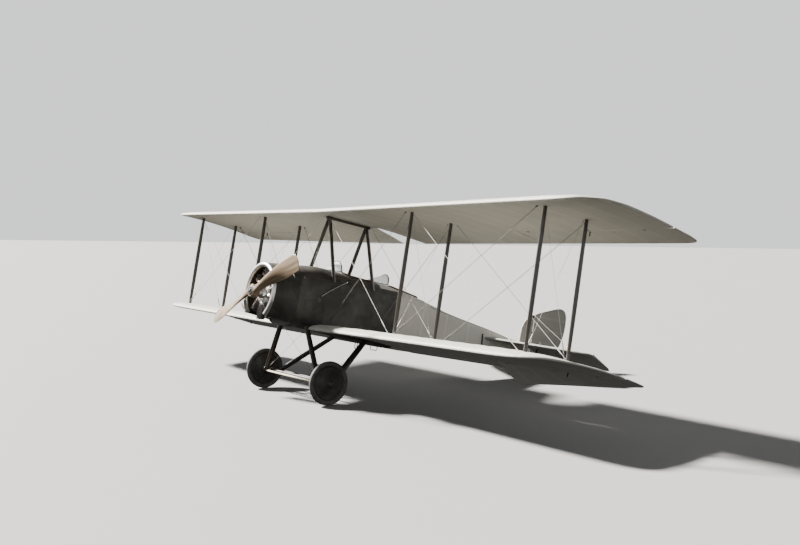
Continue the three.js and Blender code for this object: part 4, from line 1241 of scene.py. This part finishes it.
def buildWheel(sideName, side):
    ring = stance["wheelRadius"] - wheel["tyre"]
    rim = ring - wheel["tyre"] - 0.3
    centre = Vector((stance["axleX"], side * stance["wheelY"], stance["axleZ"]))
    along, body = (0, 1, 0), f"wheel_{sideName}"
    tyre = lathe(roundProfile(ring, wheel["tyre"], 28, wheel["flat"]), centre, along, 128)
    addPiece(f"tyre_{sideName}_rubber", tyre, "rubber", body, (f"tyre_{sideName}",), 60)

    def spokes(radius, out, angle):
        # Fabric sinks a little between the spokes under it
        if radius < 75 or radius > rim - 8:
            return 0
        sink = 3.2 * math.sin(wheel["spokes"] * angle / 2) ** 2 * (rim - radius) / rim
        return -math.copysign(sink, out)

    cone = [(wheel["bore"], -wheel["hub"]), (44, -wheel["hub"]), (58, -69), (70, -63), (150, -41),
            (rim - 16, -24), (rim - 5, -22), (rim, -14)]
    profile = cone + [(r, -a) for r, a in reversed(cone)] + [cone[0]]
    addPiece(f"wheel_disc_{sideName}_cover", lathe(profile, centre, along, 240, spokes), "disc", body,
             (f"wheel_disc_{sideName}",), 40)
    hoops, laces = [], []
    for _, face in sides:
        hoop = [(rim - 1, face * 15), (rim - 9, face * 26), (rim - 3, face * 30), (rim + 5, face * 22)]
        hoops.append(lathe(hoop, centre, along, 96))
        for angle in around(wheel["laces"]):
            turn = Matrix.Translation(centre) @ Matrix.Rotation(angle, 4, "Y")
            laces.append(turn @ facing((0, face * 27.5, rim - 20), (0, face, 0), (1, 0, 0)))
    addPiece(f"wheel_rim_{sideName}", merged(*hoops), "fitting", body, angle=40)
    stitch = tube([(0, -7, 0), (0, -3, 2.4), (0, 3, 2.4), (0, 7, 0)], 1.5, 6)
    addPiece(f"wheel_lacing_{sideName}", repeated(stitch, laces, "cord"), "cord", body)
    cap = lathe([(22.5, 78.4), (40, 78.4), (40, 86), (34, 92), (22.5, 92)], centre, (0, side, 0), 32)
    valve = tube([centre + Vector((0, side * y, rim - drop)) for y, drop in ((18, 30), (44, 44))], 4, 10)
    addPiece(f"wheel_cap_{sideName}", merged(cap, valve), "fitting", body, angle=40)


for sideName, side in sides:
    buildWheel(sideName, side)
print("wheels made")

# Undercarriage: each leg's foot x, its head's x, y and z, its chord and its thickness
gear = {
    "front": (185, 300, 390, -60, 96, 44), "rear": (-68, -765, 440, -120, 98, 46),
    "footY": 800, "footRise": 10, "spreader": (50, 32), "cordRing": 34, "cord": 5.5,
}


def legEnds(plane, side):
    footX, headX, headY, headZ = gear[plane][:4]
    foot = Vector((footX, side * gear["footY"], stance["axleZ"] + gear["footRise"]))
    return foot, Vector((headX, side * headY, headZ))


def buildLegs():
    for sideName, side in sides:
        for plane in ("front", "rear"):
            name = f"gear_leg_{plane}_{sideName}"
            leg = faired(*legEnds(plane, side), *gear[plane][4:], 0.14)
            addPiece(name + "_ash", leg, "strut", stands=(name,))


def spreader(x, z):
    inner = gear["footY"] - 16
    return faired((x, -inner, z), (x, inner, z), *gear["spreader"], 0.0, 4)


def buildAxle():
    # The axle with its nuts, the foot plates that hold it, the shock cord round it and the two spreader bars
    axleX, axleZ, wheelY, footY = stance["axleX"], stance["axleZ"], stance["wheelY"], gear["footY"]
    frontX, rearX = gear["front"][0], gear["rear"][0]
    reach = wheelY + 104
    axle = tube([(axleX, -reach, axleZ), (axleX, reach, axleZ)], 20.7, 32)
    nut = [(0, 79.5), (34, 79.5), (34, 92), (28, 101), (0, 102)]
    nuts = [lathe(nut, (axleX, side * wheelY, axleZ), (0, side, 0), 6) for _, side in sides]
    addPiece("axle_tube", merged(axle, *nuts), "fitting", stands=("axle_frame",), angle=40)
    outline = [(x, axleZ + rise) for x, rise in (
        (rearX - 66, 2), (rearX - 50, -22), (axleX - 40, -52), (axleX + 60, -54), (frontX + 50, -44),
        (frontX + 66, -6), (frontX + 50, 34), (axleX, 42), (rearX - 40, 36))]
    plates, turns = [], []
    for _, side in sides:
        plate = prism(outline, side * footY - 21, side * footY + 21, 1)
        edges = [e for e in plate.edges if len(e.link_faces) == 2]
        bmesh.ops.bevel(plate, geom=edges, offset=5, segments=2, affect="EDGES", profile=0.5)
        plates.append(plate)
        for out in (28 + 10.5 * i for i in range(4)):
            turns += [facing((axleX, side * footY + edge * out, axleZ), (0, 1, 0.04 * edge))
                      for edge in (-1, 1)]
    addPiece("axle_foot_plates", merged(*plates), "strut", stands=("axle_frame",), angle=40)
    wrap = lathe(roundProfile(gear["cordRing"], gear["cord"]), sides=28)
    addPiece("axle_shock_cords", repeated(wrap, turns, "cord"), "cord", angle=60)
    # The front bar's pale finish is a painted highlight; the rear bar keeps the dark spruce
    addPiece("spreader_front", spreader(frontX, axleZ - 25), "spreader", stands=("axle_frame",))
    addPiece("spreader_rear", spreader(rearX, axleZ + 8), "strut", stands=("axle_frame",))


def buildGearFittings():
    wires, sockets = [], []
    for _, side in sides:
        low = (gear["front"][0] + 6, side * (gear["footY"] - 34), stance["axleZ"] + 20)
        wires.append(wireWithBuckle(low, (282, -side * 392, -92), 2.2, 0, 150))
        for plane in ("front", "rear"):
            foot, head = legEnds(plane, side)
            sockets.append(strutSocket(foot.lerp(head, 0.045), head, 88, 44, 90))
            sockets.append(strutSocket(head.lerp(foot, 0.06), foot, 88, 44, 60))
    addPiece("gear_cross_wires", merged(*wires), "cable")
    addPiece("gear_leg_sockets", merged(*sockets), "fitting", angle=40)
    steps = []
    for x, wide, top, low in ((-593, 44, -112, -268), (-932, 130, -118, -246)):
        half = wide / 2
        path = [(half, 452, top), (half - 2, 462, low + 14), (half - 12, 464, low)]
        path += [(-along, y, z) for along, y, z in reversed(path)]
        steps.append(tube([(x + along, y, z) for along, y, z in path], 6.5, 10))
    addPiece("boarding_steps", merged(*steps), "fitting", angle=50)


buildLegs()
buildAxle()
buildGearFittings()
print("undercarriage made")

# Propeller: radius, chord, thickness, blade angle, sweep
bladeTable = [
    [40, 112, 96, 62, 0], [140, 118, 88, 56, 0], [280, 132, 60, 47, 6], [450, 166, 44, 38, 8],
    [700, 224, 32, 26, 6], [930, 256, 24, 18, 2], [1100, 258, 18, 15, 0], [1190, 240, 13, 14, -4],
    [1240, 190, 10, 13, -8], [1258, 120, 8, 13, -12],
]
propeller = {
    "hubX": 1075, "root": 40, "tip": 1258, "tipStart": 1160, "tipChord": 250, "bolts": 8, "boltRing": 52,
}
# A blade's section as shares of its chord and thickness
bladeSection = [
    (0.5, 0), (0.485, 0.2), (0.44, 0.38), (0.36, 0.56), (0.24, 0.73), (0.1, 0.8), (-0.06, 0.74), (-0.2, 0.61),
    (-0.36, 0.33), (-0.46, 0.13), (-0.5, 0.04), (-0.46, -0.02), (-0.34, -0.12), (-0.2, -0.18), (-0.05, -0.21),
    (0.1, -0.22), (0.24, -0.22), (0.36, -0.2), (0.46, -0.12),
]


def bladeRing(radius, chord, thick, angle, sweep):
    c, s = math.cos(math.radians(angle)), math.sin(math.radians(angle))
    ring = []
    for along, out in bladeSection:
        across, deep = along * chord + sweep, out * thick
        ring.append((across * s + deep * c, radius, across * c - deep * s))
    return ring


def buildPropeller():
    root, tip, tipStart = propeller["root"], propeller["tip"], propeller["tipStart"]
    rings = []
    for radius in spaced(root, tipStart, 40) + [tip - out for out in (83, 68, 53, 38, 26, 16, 9, 4, 1, 0)]:
        chord, thick, angle, sweep = through(bladeTable, radius)
        if radius > tipStart:
            share = (radius - tipStart) / (tip - tipStart)
            chord = propeller["tipChord"] * max(0.003, 1 - share**2.4) ** 0.5
        rings.append(bladeRing(radius, chord, thick, angle, sweep))
    blade = loft(rings)
    other = turned(blade.copy(), Matrix.Rotation(math.pi, 4, "X"))
    hub = [(0, -57), (88, -57), (96, -50), (100, -38)]
    boss = lathe(hub + [(radius, -along) for radius, along in reversed(hub)], axis=(1, 0, 0))
    place = Matrix.Translation((propeller["hubX"], 0, hull["thrustZ"]))
    place = place @ Matrix.Rotation(math.radians(propellerRest), 4, "X")
    wooden = turned(carved(boss, ("UNION", blade), ("UNION", other)), place)
    addPiece("propeller_wood", wooden, "propeller", "rotor", ("propeller",), 40)
    flange = lathe([(0, 57.3), (70, 57.3), (73, 60), (73, 63), (70, 65), (34, 66), (30, 70), (28, 82),
                    (24, 84), (0, 84)], axis=(1, 0, 0), sides=48)
    ring = propeller["boltRing"]
    bolts = [tube([(x, ring * math.cos(a), ring * math.sin(a)) for x in (64, 76)], 8, 6)
             for a in around(propeller["bolts"])]
    addPiece("propeller_flange", turned(merged(flange, *bolts), place), "fitting", "rotor")


buildPropeller()
print("propeller made")

# Rotary engine: nine finned cylinders round a polished case
engine = {
    "x": 850, "cylinders": 9, "tilt": 10, "finCount": 18, "finStart": 192, "finPitch": 9.5, "caseNuts": 18,
}


def roundEngine(count, tilt=0.0):
    # Places round the shaft, each turned to its own cylinder
    centre = Matrix.Translation((engine["x"], 0, hull["thrustZ"]))
    return [centre @ Matrix.Rotation(angle + math.radians(tilt), 4, "X") for angle in around(count)]


def buildEngine():
    # Each item is drawn beside the upright cylinder and copied round the shaft
    each = roundEngine(engine["cylinders"], engine["tilt"])
    case = [(0, -75), (118, -75), (150, -66), (168, -52), (172, -40), (172, 40), (168, 52), (150, 62),
            (100, 68), (95, 74), (95, 96), (88, 108), (66, 124), (60, 130), (58, 140), (58, 166), (0, 166)]
    body = lathe(case, (engine["x"], 0, hull["thrustZ"]), (1, 0, 0), 72)
    seat = lathe([(0, 150), (72, 150), (72, 172), (66, 176), (0, 176)], sides=32)
    addPiece("engine_case", merged(body, repeated(seat, each, "bright")), "bright", "rotor", ("engine",), 40)
    barrel = lathe([(0, 140), (57, 140), (57, 366), (60, 369), (60, 390), (54, 397), (30, 402), (0, 403)],
                   sides=36)
    fin = lathe([(56, -1.2), (66, -0.8), (66, 0.8), (56, 1.2)], sides=32)
    fins = []
    for place in each:
        for k in range(engine["finCount"]):
            rise = Matrix.Translation((0, 0, engine["finStart"] + engine["finPitch"] * k))
            fins.append(place @ rise @ Matrix.Scale(1.0 if k < 15 else 0.96, 4))
    cylinders = merged(repeated(barrel, each, "cylinder"), repeated(fin, fins, "cylinder"))
    addPiece("engine_cylinders", cylinders, "cylinder", "rotor", ("engine",), 40)
    rod = tube([(72, 0, 150), (74, 0, 172), (62, 10, 398), (58, 12, 408)], 4.2, 8)
    stem = lathe([(0, 380), (13, 380), (13, 384), (9, 386), (9, 404), (0, 404)], (-8, 10, 0), sides=14)
    rocker = merged(block((-6, 4, 402), (64, 17, 411), 2.5), tube([(20, -9, 396), (20, 30, 396)], 5, 8), stem)
    plug = lathe([(0, -10), (9, -10), (9, 6), (6, 8), (5, 26), (0, 27)], (62, -22, 348), (1, 0, 0.2), 10)
    addPiece("engine_rockers", repeated(merged(rod, rocker, plug), each, "steel"), "steel", "rotor", angle=40)
    inlet = tube([(-72, 26, 120), (-88, 30, 160), (-86, 34, 250), (-80, 34, 330), (-62, 30, 372),
                  (-40, 22, 384)], [15, 15, 14, 13, 13, 13], 16)
    addPiece("engine_inlet_pipes", repeated(inlet, each, "copper"), "copper", "rotor", angle=50)
    nut = turned(bolt(7, 8), facing((64, 0, 132), (1, 0, 0)))
    addPiece("engine_case_nuts", repeated(nut, roundEngine(engine["caseNuts"]), "steel"), "steel", "rotor")
    lead = tube([(70, 20, 100), (90, 8, 190), (92, -14, 300), (88, -22, 352)], 2.2, 6)
    addPiece("engine_plug_leads", repeated(lead, each, "copper"), "copper", "rotor")


buildEngine()
print("engine made")

# Stays: radii of the wires, the space in a flying pair, and where the ends stand off what they reach
stay = {
    "flying": 1.8, "landing": 2.9, "cross": 1.5, "apart": 15, "bodyY": 499, "apexY": 44, "clear": 62,
    "lift": 52,
}


def buildStays():
    inner, outer, clear = strut["inner"], strut["outer"], stay["clear"]
    for sideName, side in sides:
        for plane, x, offset in (("front", 0, clear), ("rear", strut["rearX"], -clear)):

            def below(y):
                z = camberZ(x, y, wing["lowerZ"]) + stay["lift"]
                return Vector((x + strut["rake"] + offset, side * y, z))

            def above(y):
                z = camberZ(x, y, wing["upperZ"]) - stay["lift"]
                return Vector((x + offset, side * y, z))

            for bay, lowY, highY, outY in (("inner", stay["bodyY"], stay["apexY"], inner - clear),
                                           ("outer", inner + clear, inner + clear, outer - clear)):
                flying = wireWithBuckle(below(lowY), above(outY), stay["flying"], stay["apart"])
                landing = wireWithBuckle(below(outY), above(highY), stay["landing"])
                name = f"stays_{plane}_{bay}_{sideName}"
                addPiece(name + "_flying", flying, "cable", stands=(name,))
                addPiece(name + "_landing", landing, "wire", stands=(name,))


def buildCrossWires():
    # The wires that cross between the front and rear strut of each pair
    clear = stay["clear"]
    for sideName, side in sides:
        wires = []
        for y in (strut["inner"], strut["outer"]):
            for low, high in ((0, strut["rearX"]), (strut["rearX"], 0)):
                footX, headX = 0.92 * low + strut["rake"], 0.92 * high
                wires.append(wireWithBuckle((footX, side * y, camberZ(low, y, wing["lowerZ"]) + clear),
                                            (headX, side * y, camberZ(high, y, wing["upperZ"]) - clear),
                                            stay["cross"], 0, 150))
        addPiece(f"cross_wires_{sideName}", merged(*wires), "wire", angle=60)


buildStays()
buildCrossWires()
print("stays made")

# Windscreens: tip, rear hoop's foot and top, half width, height of the top
windscreens = {"front": (-100, -255, -282, 225, 1043), "rear": (-870, -1115, -1236, 220, 1000)}


def buildWindscreen(which):
    # Rows from the tip back to the hoop, each an arch whose foot follows the deck
    tip, footX, topX, half, top = windscreens[which]
    start = crestAt(tip) + 14
    rows = []
    for share in (max(0.02, s) for s in spaced(0, 1, 14)):
        width = half * through([[0.02, 0.1], [0.45, 0.66], [1, 1]], share)[0]
        peak = start + share * (top - start)
        row = []
        for angle in spaced(0, math.pi, 32):
            rise = max(0.0, math.sin(angle)) ** 0.8
            x = tip + share * (footX - tip) + share * (topX - footX) * rise
            y = width * math.cos(angle)
            row.append(Vector((x, y, max(640 + (peak - 640) * rise, deckTop(x, y) + 1))))
        rows.append(row)
    sheet = loft(rows, capped=False, closed=False)
    centre = Vector((topX, 0, 780))
    for face in sheet.faces:
        if face.normal.dot(face.calc_center_median() - centre) < 0:
            face.normal_flip()
    bmesh.ops.solidify(sheet, geom=sheet.faces[:], thickness=3)
    bmesh.ops.recalc_face_normals(sheet, faces=sheet.faces)
    addPiece(f"windscreen_{which}_sheet", sheet, "glass", stands=(f"windscreen_{which}",), angle=60)

    def clears(point):
        return point.z > deckTop(point.x, point.y) + 1.5

    hoop = [point for point in rows[-1] if clears(point)]
    base = [next((point for point in row[:16] if clears(point)), row[16]) for row in rows]
    other = [Vector((p.x, -p.y, p.z)) for p in base]
    edge = merged(tube(hoop, 10, 12), tube(base, 7, 8), tube(other, 7, 8))
    addPiece(f"windscreen_{which}_hoop", edge, "cowl")


for which in windscreens:
    buildWindscreen(which)
print("windscreens made")

# Cockpits: front edge of the seat's pan and its height
cockpits = {"front": (-395, 150), "rear": (-1330, 113)}
# Dials: distance out, height and radius
dialTable = ((-150, 640, 52), (0, 668, 60), (150, 640, 52), (-60, 570, 30), (60, 570, 30))
# Padding: voxel size in metres, cloth pressure and the frames it acts for
cushion = {"voxel": 0.0085, "pressure": 4, "frames": 20}


def seatBucket(x, z):
    # A cane bucket: the back wraps round the pan, and its edge falls towards the front
    rows = []
    for rise in spaced(0, 1, 10):
        row = []
        for turn in spaced(-0.68 * math.pi, 0.68 * math.pi, 40):
            reach, depth = 196 + 10 * rise, 210 + 14 * rise
            high = 392 * (0.30 + 0.70 * max(0.0, math.cos(turn * 0.94)) ** 0.8) * rise
            row.append((x - 190 - depth * math.cos(turn), reach * math.sin(turn), z + 6 + high))
        rows.append(row)
    shell = loft(rows, capped=False, closed=False)
    bmesh.ops.solidify(shell, geom=shell.faces[:], thickness=9)
    bmesh.ops.recalc_face_normals(shell, faces=shell.faces)
    edge = tube([(px, py, pz + 2) for px, py, pz in rows[-1]], 11, 12)
    return shell, edge


def filled(work, limit):
    # Cloth pressure fills the pad out, and no point moves farther than the limit
    remesh = work.modifiers.new("voxels", "REMESH")
    remesh.mode = "VOXEL"
    remesh.voxel_size = cushion["voxel"]
    work.data = evaluated(work)
    start = [vertex.co.copy() for vertex in work.data.vertices]
    cloth = work.modifiers.new("fill", "CLOTH")
    cloth.settings.use_pressure = True
    cloth.settings.uniform_pressure_force = cushion["pressure"]
    cloth.settings.effector_weights.gravity = 0
    cloth.settings.quality = 4
    cloth.point_cache.frame_start, cloth.point_cache.frame_end = 1, cushion["frames"]
    for frameNumber in range(1, cushion["frames"] + 1):
        bpy.context.scene.frame_set(frameNumber)
    work.data = evaluated(work)
    for vertex, before in zip(work.data.vertices, start):
        move = vertex.co - before
        if move.length > limit:
            vertex.co = before + move * (limit / move.length)
    bpy.context.scene.frame_set(1)


def softCushion(name, centre, size, tilt=0.0, push=12):
    # A slack pad that cloth pressure fills out
    slack = block([-v / 2 for v in size], [v / 2 for v in size], 12)
    work = objectOf(turned(slack, Matrix.Scale(0.001, 4)), name)
    filled(work, push / 1000)
    shape = shapeOf(work.data)
    bpy.data.objects.remove(work)
    bmesh.ops.smooth_vert(shape, verts=shape.verts, factor=0.4,
                          use_axis_x=True, use_axis_y=True, use_axis_z=True)
    lean = Matrix.Rotation(math.radians(tilt), 4, "Y")
    turned(shape, Matrix.Translation(centre) @ lean @ Matrix.Scale(1000, 4))
    piece = addPiece(name, shape, "canvas", angle=60)


def buildSeat(which, x, z):
    shell, edge = seatBucket(x, z)
    pan = block((x - 392, -196, z + 0.5), (x - 6, 196, z + 14), 5)
    feet = [(x - back, out) for back in (60, 320) for out in (-120, 120)]
    legs = [tube([(px, py, z - 205), (px, py, z)], 11, 10) for px, py in feet]
    addPiece(f"seat_{which}_bucket", merged(shell, pan), "cane", stands=(f"seat_{which}",), angle=50)
    addPiece(f"seat_{which}_edge", edge, "leather", angle=60)
    addPiece(f"seat_{which}_legs", merged(*legs), "fitting", angle=60)
    softCushion(f"seat_{which}_cushion", (x - 195, 0, z + 45), (330, 330, 46))
    softCushion(f"seat_{which}_back_pad", (x - 378, 0, z + 225), (30, 270, 250), -4, 9)
    for sideName, side in sides:
        strap = [(x - 372, side * 176, z + 30), (x - 330, side * 172, z + 60), (x - 250, side * 150, z + 84),
                 (x - 180, side * 96, z + 92), (x - 150, side * 40, z + 92)]
        corners = ((0, side * 1.5, -1.2), (-34, side * 1.5, -1.2), (-34, 0, 1.2), (0, 0, 1.2))
        band = loft([[(px + a, py - b, pz + c) for a, b, c in corners] for px, py, pz in strap])
        addPiece(f"belt_{which}_{sideName}", band, "leather", angle=50)


def buildPanel(which, front):
    # The board and its dials, which face the seat
    edge = ((300, 560), (290, 640), (240, 700), (150, 735))
    board = [(-y, z) for y, z in edge] + [(0, 748)] + list(edge[::-1]) + [(180, 520), (-180, 520)]
    addPiece(f"panel_{which}", prism(board, front + 62, front + 74, 0), "plywood", angle=40)
    rings, faces = [], []
    for y, z, radius in dialTable:
        ring = [(radius - 6, 0), (radius + 4, 0), (radius + 4, -12), (radius - 2, -18), (radius - 6, -12)]
        face = [(0, 0), (radius - 6.3, 0), (radius - 6.3, -5), (0, -6)]
        for kind, profile, count in ((rings, ring, 40), (faces, face, 32)):
            kind.append(lathe(profile, (front + 61.6, y, z), (1, 0, 0), count))
    addPiece(f"dials_{which}", merged(*rings), "bright", angle=40)
    addPiece(f"dial_faces_{which}", merged(*faces), "cowl", angle=40)


def buildCockpit(which, opening):
    x, z = cockpits[which]
    front, rear, half = opening
    buildSeat(which, x, z)
    rim = [(px, py, deckTop(px, py) + 7) for px, py in roundedOpening(front + 6, rear - 6, half + 6, 116)]
    addPiece(f"coaming_{which}", tube(rim + rim[:1], 17, 14, True), "leather", angle=60)
    stick = [(x + ahead, 0, z + up) for ahead, up in (
        (210, -190), (206, -120), (190, 40), (160, 190), (156, 205), (146, 262), (142, 285))]
    addPiece(f"stick_{which}", tube(stick, [26, 14, 12, 12, 16, 18, 13], 16), "fitting", angle=50)
    buildPanel(which, front)
    bar = tube([(x + 330, -210, z - 110), (x + 345, 0, z - 110), (x + 330, 210, z - 110)], 13, 12)
    post = tube([(x + 345, 0, z - 200), (x + 345, 0, z - 108)], 16, 12)
    addPiece(f"rudder_bar_{which}", merged(bar, post), "ash", angle=50)


for which, opening in zip(cockpits, hull["cockpits"]):
    buildCockpit(which, opening)
print("cockpits fitted")

# Tail skid: an ash blade with a steel shoe, its post and a wrap of shock cord
skid = {"heelX": -4440, "cordRing": 36, "cord": 5, "wraps": 6, "firstWrap": (-4252, 0, -96)}


def buildSkid():
    pitch, heelX = math.radians(stance["pitch"]), skid["heelX"]
    drop = stance["wheelRadius"] / math.cos(pitch) - math.tan(pitch) * (stance["axleX"] - heelX)
    heelZ = stance["axleZ"] - drop
    bends = ((-3960, 36, 24), (-4080, -36, 30), (-4220, -122, 32), (-4360, heelZ + 66, 30),
             (-4450, heelZ + 22, 26))
    blade = loft([[(x - 6, -half, z), (x - 6, half, z), (x + 6, half, z + 34), (x + 6, -half, z + 34)]
                  for x, z, half in bends])
    addPiece("skid_blade", blade, "ash", stands=("tail_skid",), angle=50)
    flat = Matrix.Translation((heelX, 0, heelZ)) @ Matrix.Rotation(pitch, 4, "Y")
    shoe = merged(block((-90, -30, 0.2), (90, 30, 10), 4), block((-30, -34, 8), (20, 34, 40), 6))
    addPiece("skid_shoe", turned(shoe, flat), "fitting", stands=("tail_skid",), angle=40)
    post = faired((-4250, 0, -116), (-4290, 0, 176), 60, 34, 0.1, 6)
    addPiece("skid_post", post, "strut", stands=("tail_skid",))
    wrap = lathe(roundProfile(skid["cordRing"], skid["cord"]), sides=28)
    x, y, z = skid["firstWrap"]
    turns = [facing((x - 2 * i, y, z + 10 * i), (-0.13, 0, 1)) for i in range(skid["wraps"])]
    addPiece("skid_cord", repeated(wrap, turns, "cord"), "cord", angle=60)


buildSkid()
print("skid made")

# Finishes of the CAD nodes that stay
kept = {"firewall": "cowl", "cockpit_floor": "plywood", "cabane_ridge": "strut"}
for name, finish in kept.items():
    for slotOf in nodes[name].material_slots:
        slotOf.material = finishes[finish].material

# Floor and lights
studio = {
    "reach": 1500, "floor": (0.235, 0.233, 0.227), "skyStrength": 1.3,
    # The sky's colours from straight down at 0 to straight up at 1
    "sky": ((0.44, (0.04, 0.04, 0.038)), (0.49, (0.90, 0.91, 0.92)), (0.65, (0.90, 0.91, 0.92)),
            (0.81, (0.066, 0.068, 0.07))),
    "keyFrom": (7.6, -13.4, 13.0), "keySpread": 6.2, "keyStrength": 30, "keyTint": (1.0, 0.97, 0.92),
}


def floorFinish():
    finish = Finish("paleFloor", "")
    tone = finish.mix(finish.noise(0.6, 3), studio["floor"], tuple(1.04 * v for v in studio["floor"]))
    return finish.give(Base_Color=tone, Roughness=finish.noise(3.0) * 0.1 + 0.8)


def addFloor():
    mesh = bpy.data.meshes.new("floor")
    half = studio["reach"]
    corners = [(-half, -half, 0), (half, -half, 0), (half, half, 0), (-half, half, 0)]
    mesh.from_pydata(corners, [], [(0, 1, 2, 3)])
    mesh.materials.append(floorFinish().material)
    floor = linked("floor", mesh)
    floor.visible_diffuse = False  # the pale floor throws no light up under the wings
    floor.visible_glossy = False


def addKey():
    light = bpy.data.lights.new("key", "SUN")
    light.energy = studio["keyStrength"]
    light.angle = math.radians(studio["keySpread"])
    light.color = studio["keyTint"]
    lamp = linked("key", light)
    lamp.rotation_euler = Vector(studio["keyFrom"]).to_track_quat("Z", "Y").to_euler()


def addSky():
    # Pale at the horizon, dimmer overhead and below it
    world = bpy.data.worlds.new("studio")
    world.use_nodes = True
    tree = world.node_tree
    place, height, half, ramp = (tree.nodes.new("ShaderNode" + kind)
                                 for kind in ("TexCoord", "SeparateXYZ", "Math", "ValToRGB"))
    half.operation = "MULTIPLY_ADD"
    half.inputs[1].default_value = half.inputs[2].default_value = 0.5
    background = tree.nodes["Background"]
    for plug, socket in ((place.outputs["Generated"], height.inputs[0]),
                         (height.outputs["Z"], half.inputs[0]), (half.outputs[0], ramp.inputs[0]),
                         (ramp.outputs[0], background.inputs[0])):
        tree.links.new(plug, socket)
    bands = studio["sky"]
    while len(ramp.color_ramp.elements) < len(bands):
        ramp.color_ramp.elements.new(0.5)
    for element, (position, tone) in zip(ramp.color_ramp.elements, bands):
        element.position = position
        element.color = (*tone, 1)
    background.inputs[1].default_value = studio["skyStrength"]
    bpy.context.scene.world = world


addFloor()
addKey()
addSky()
print("studio lit")
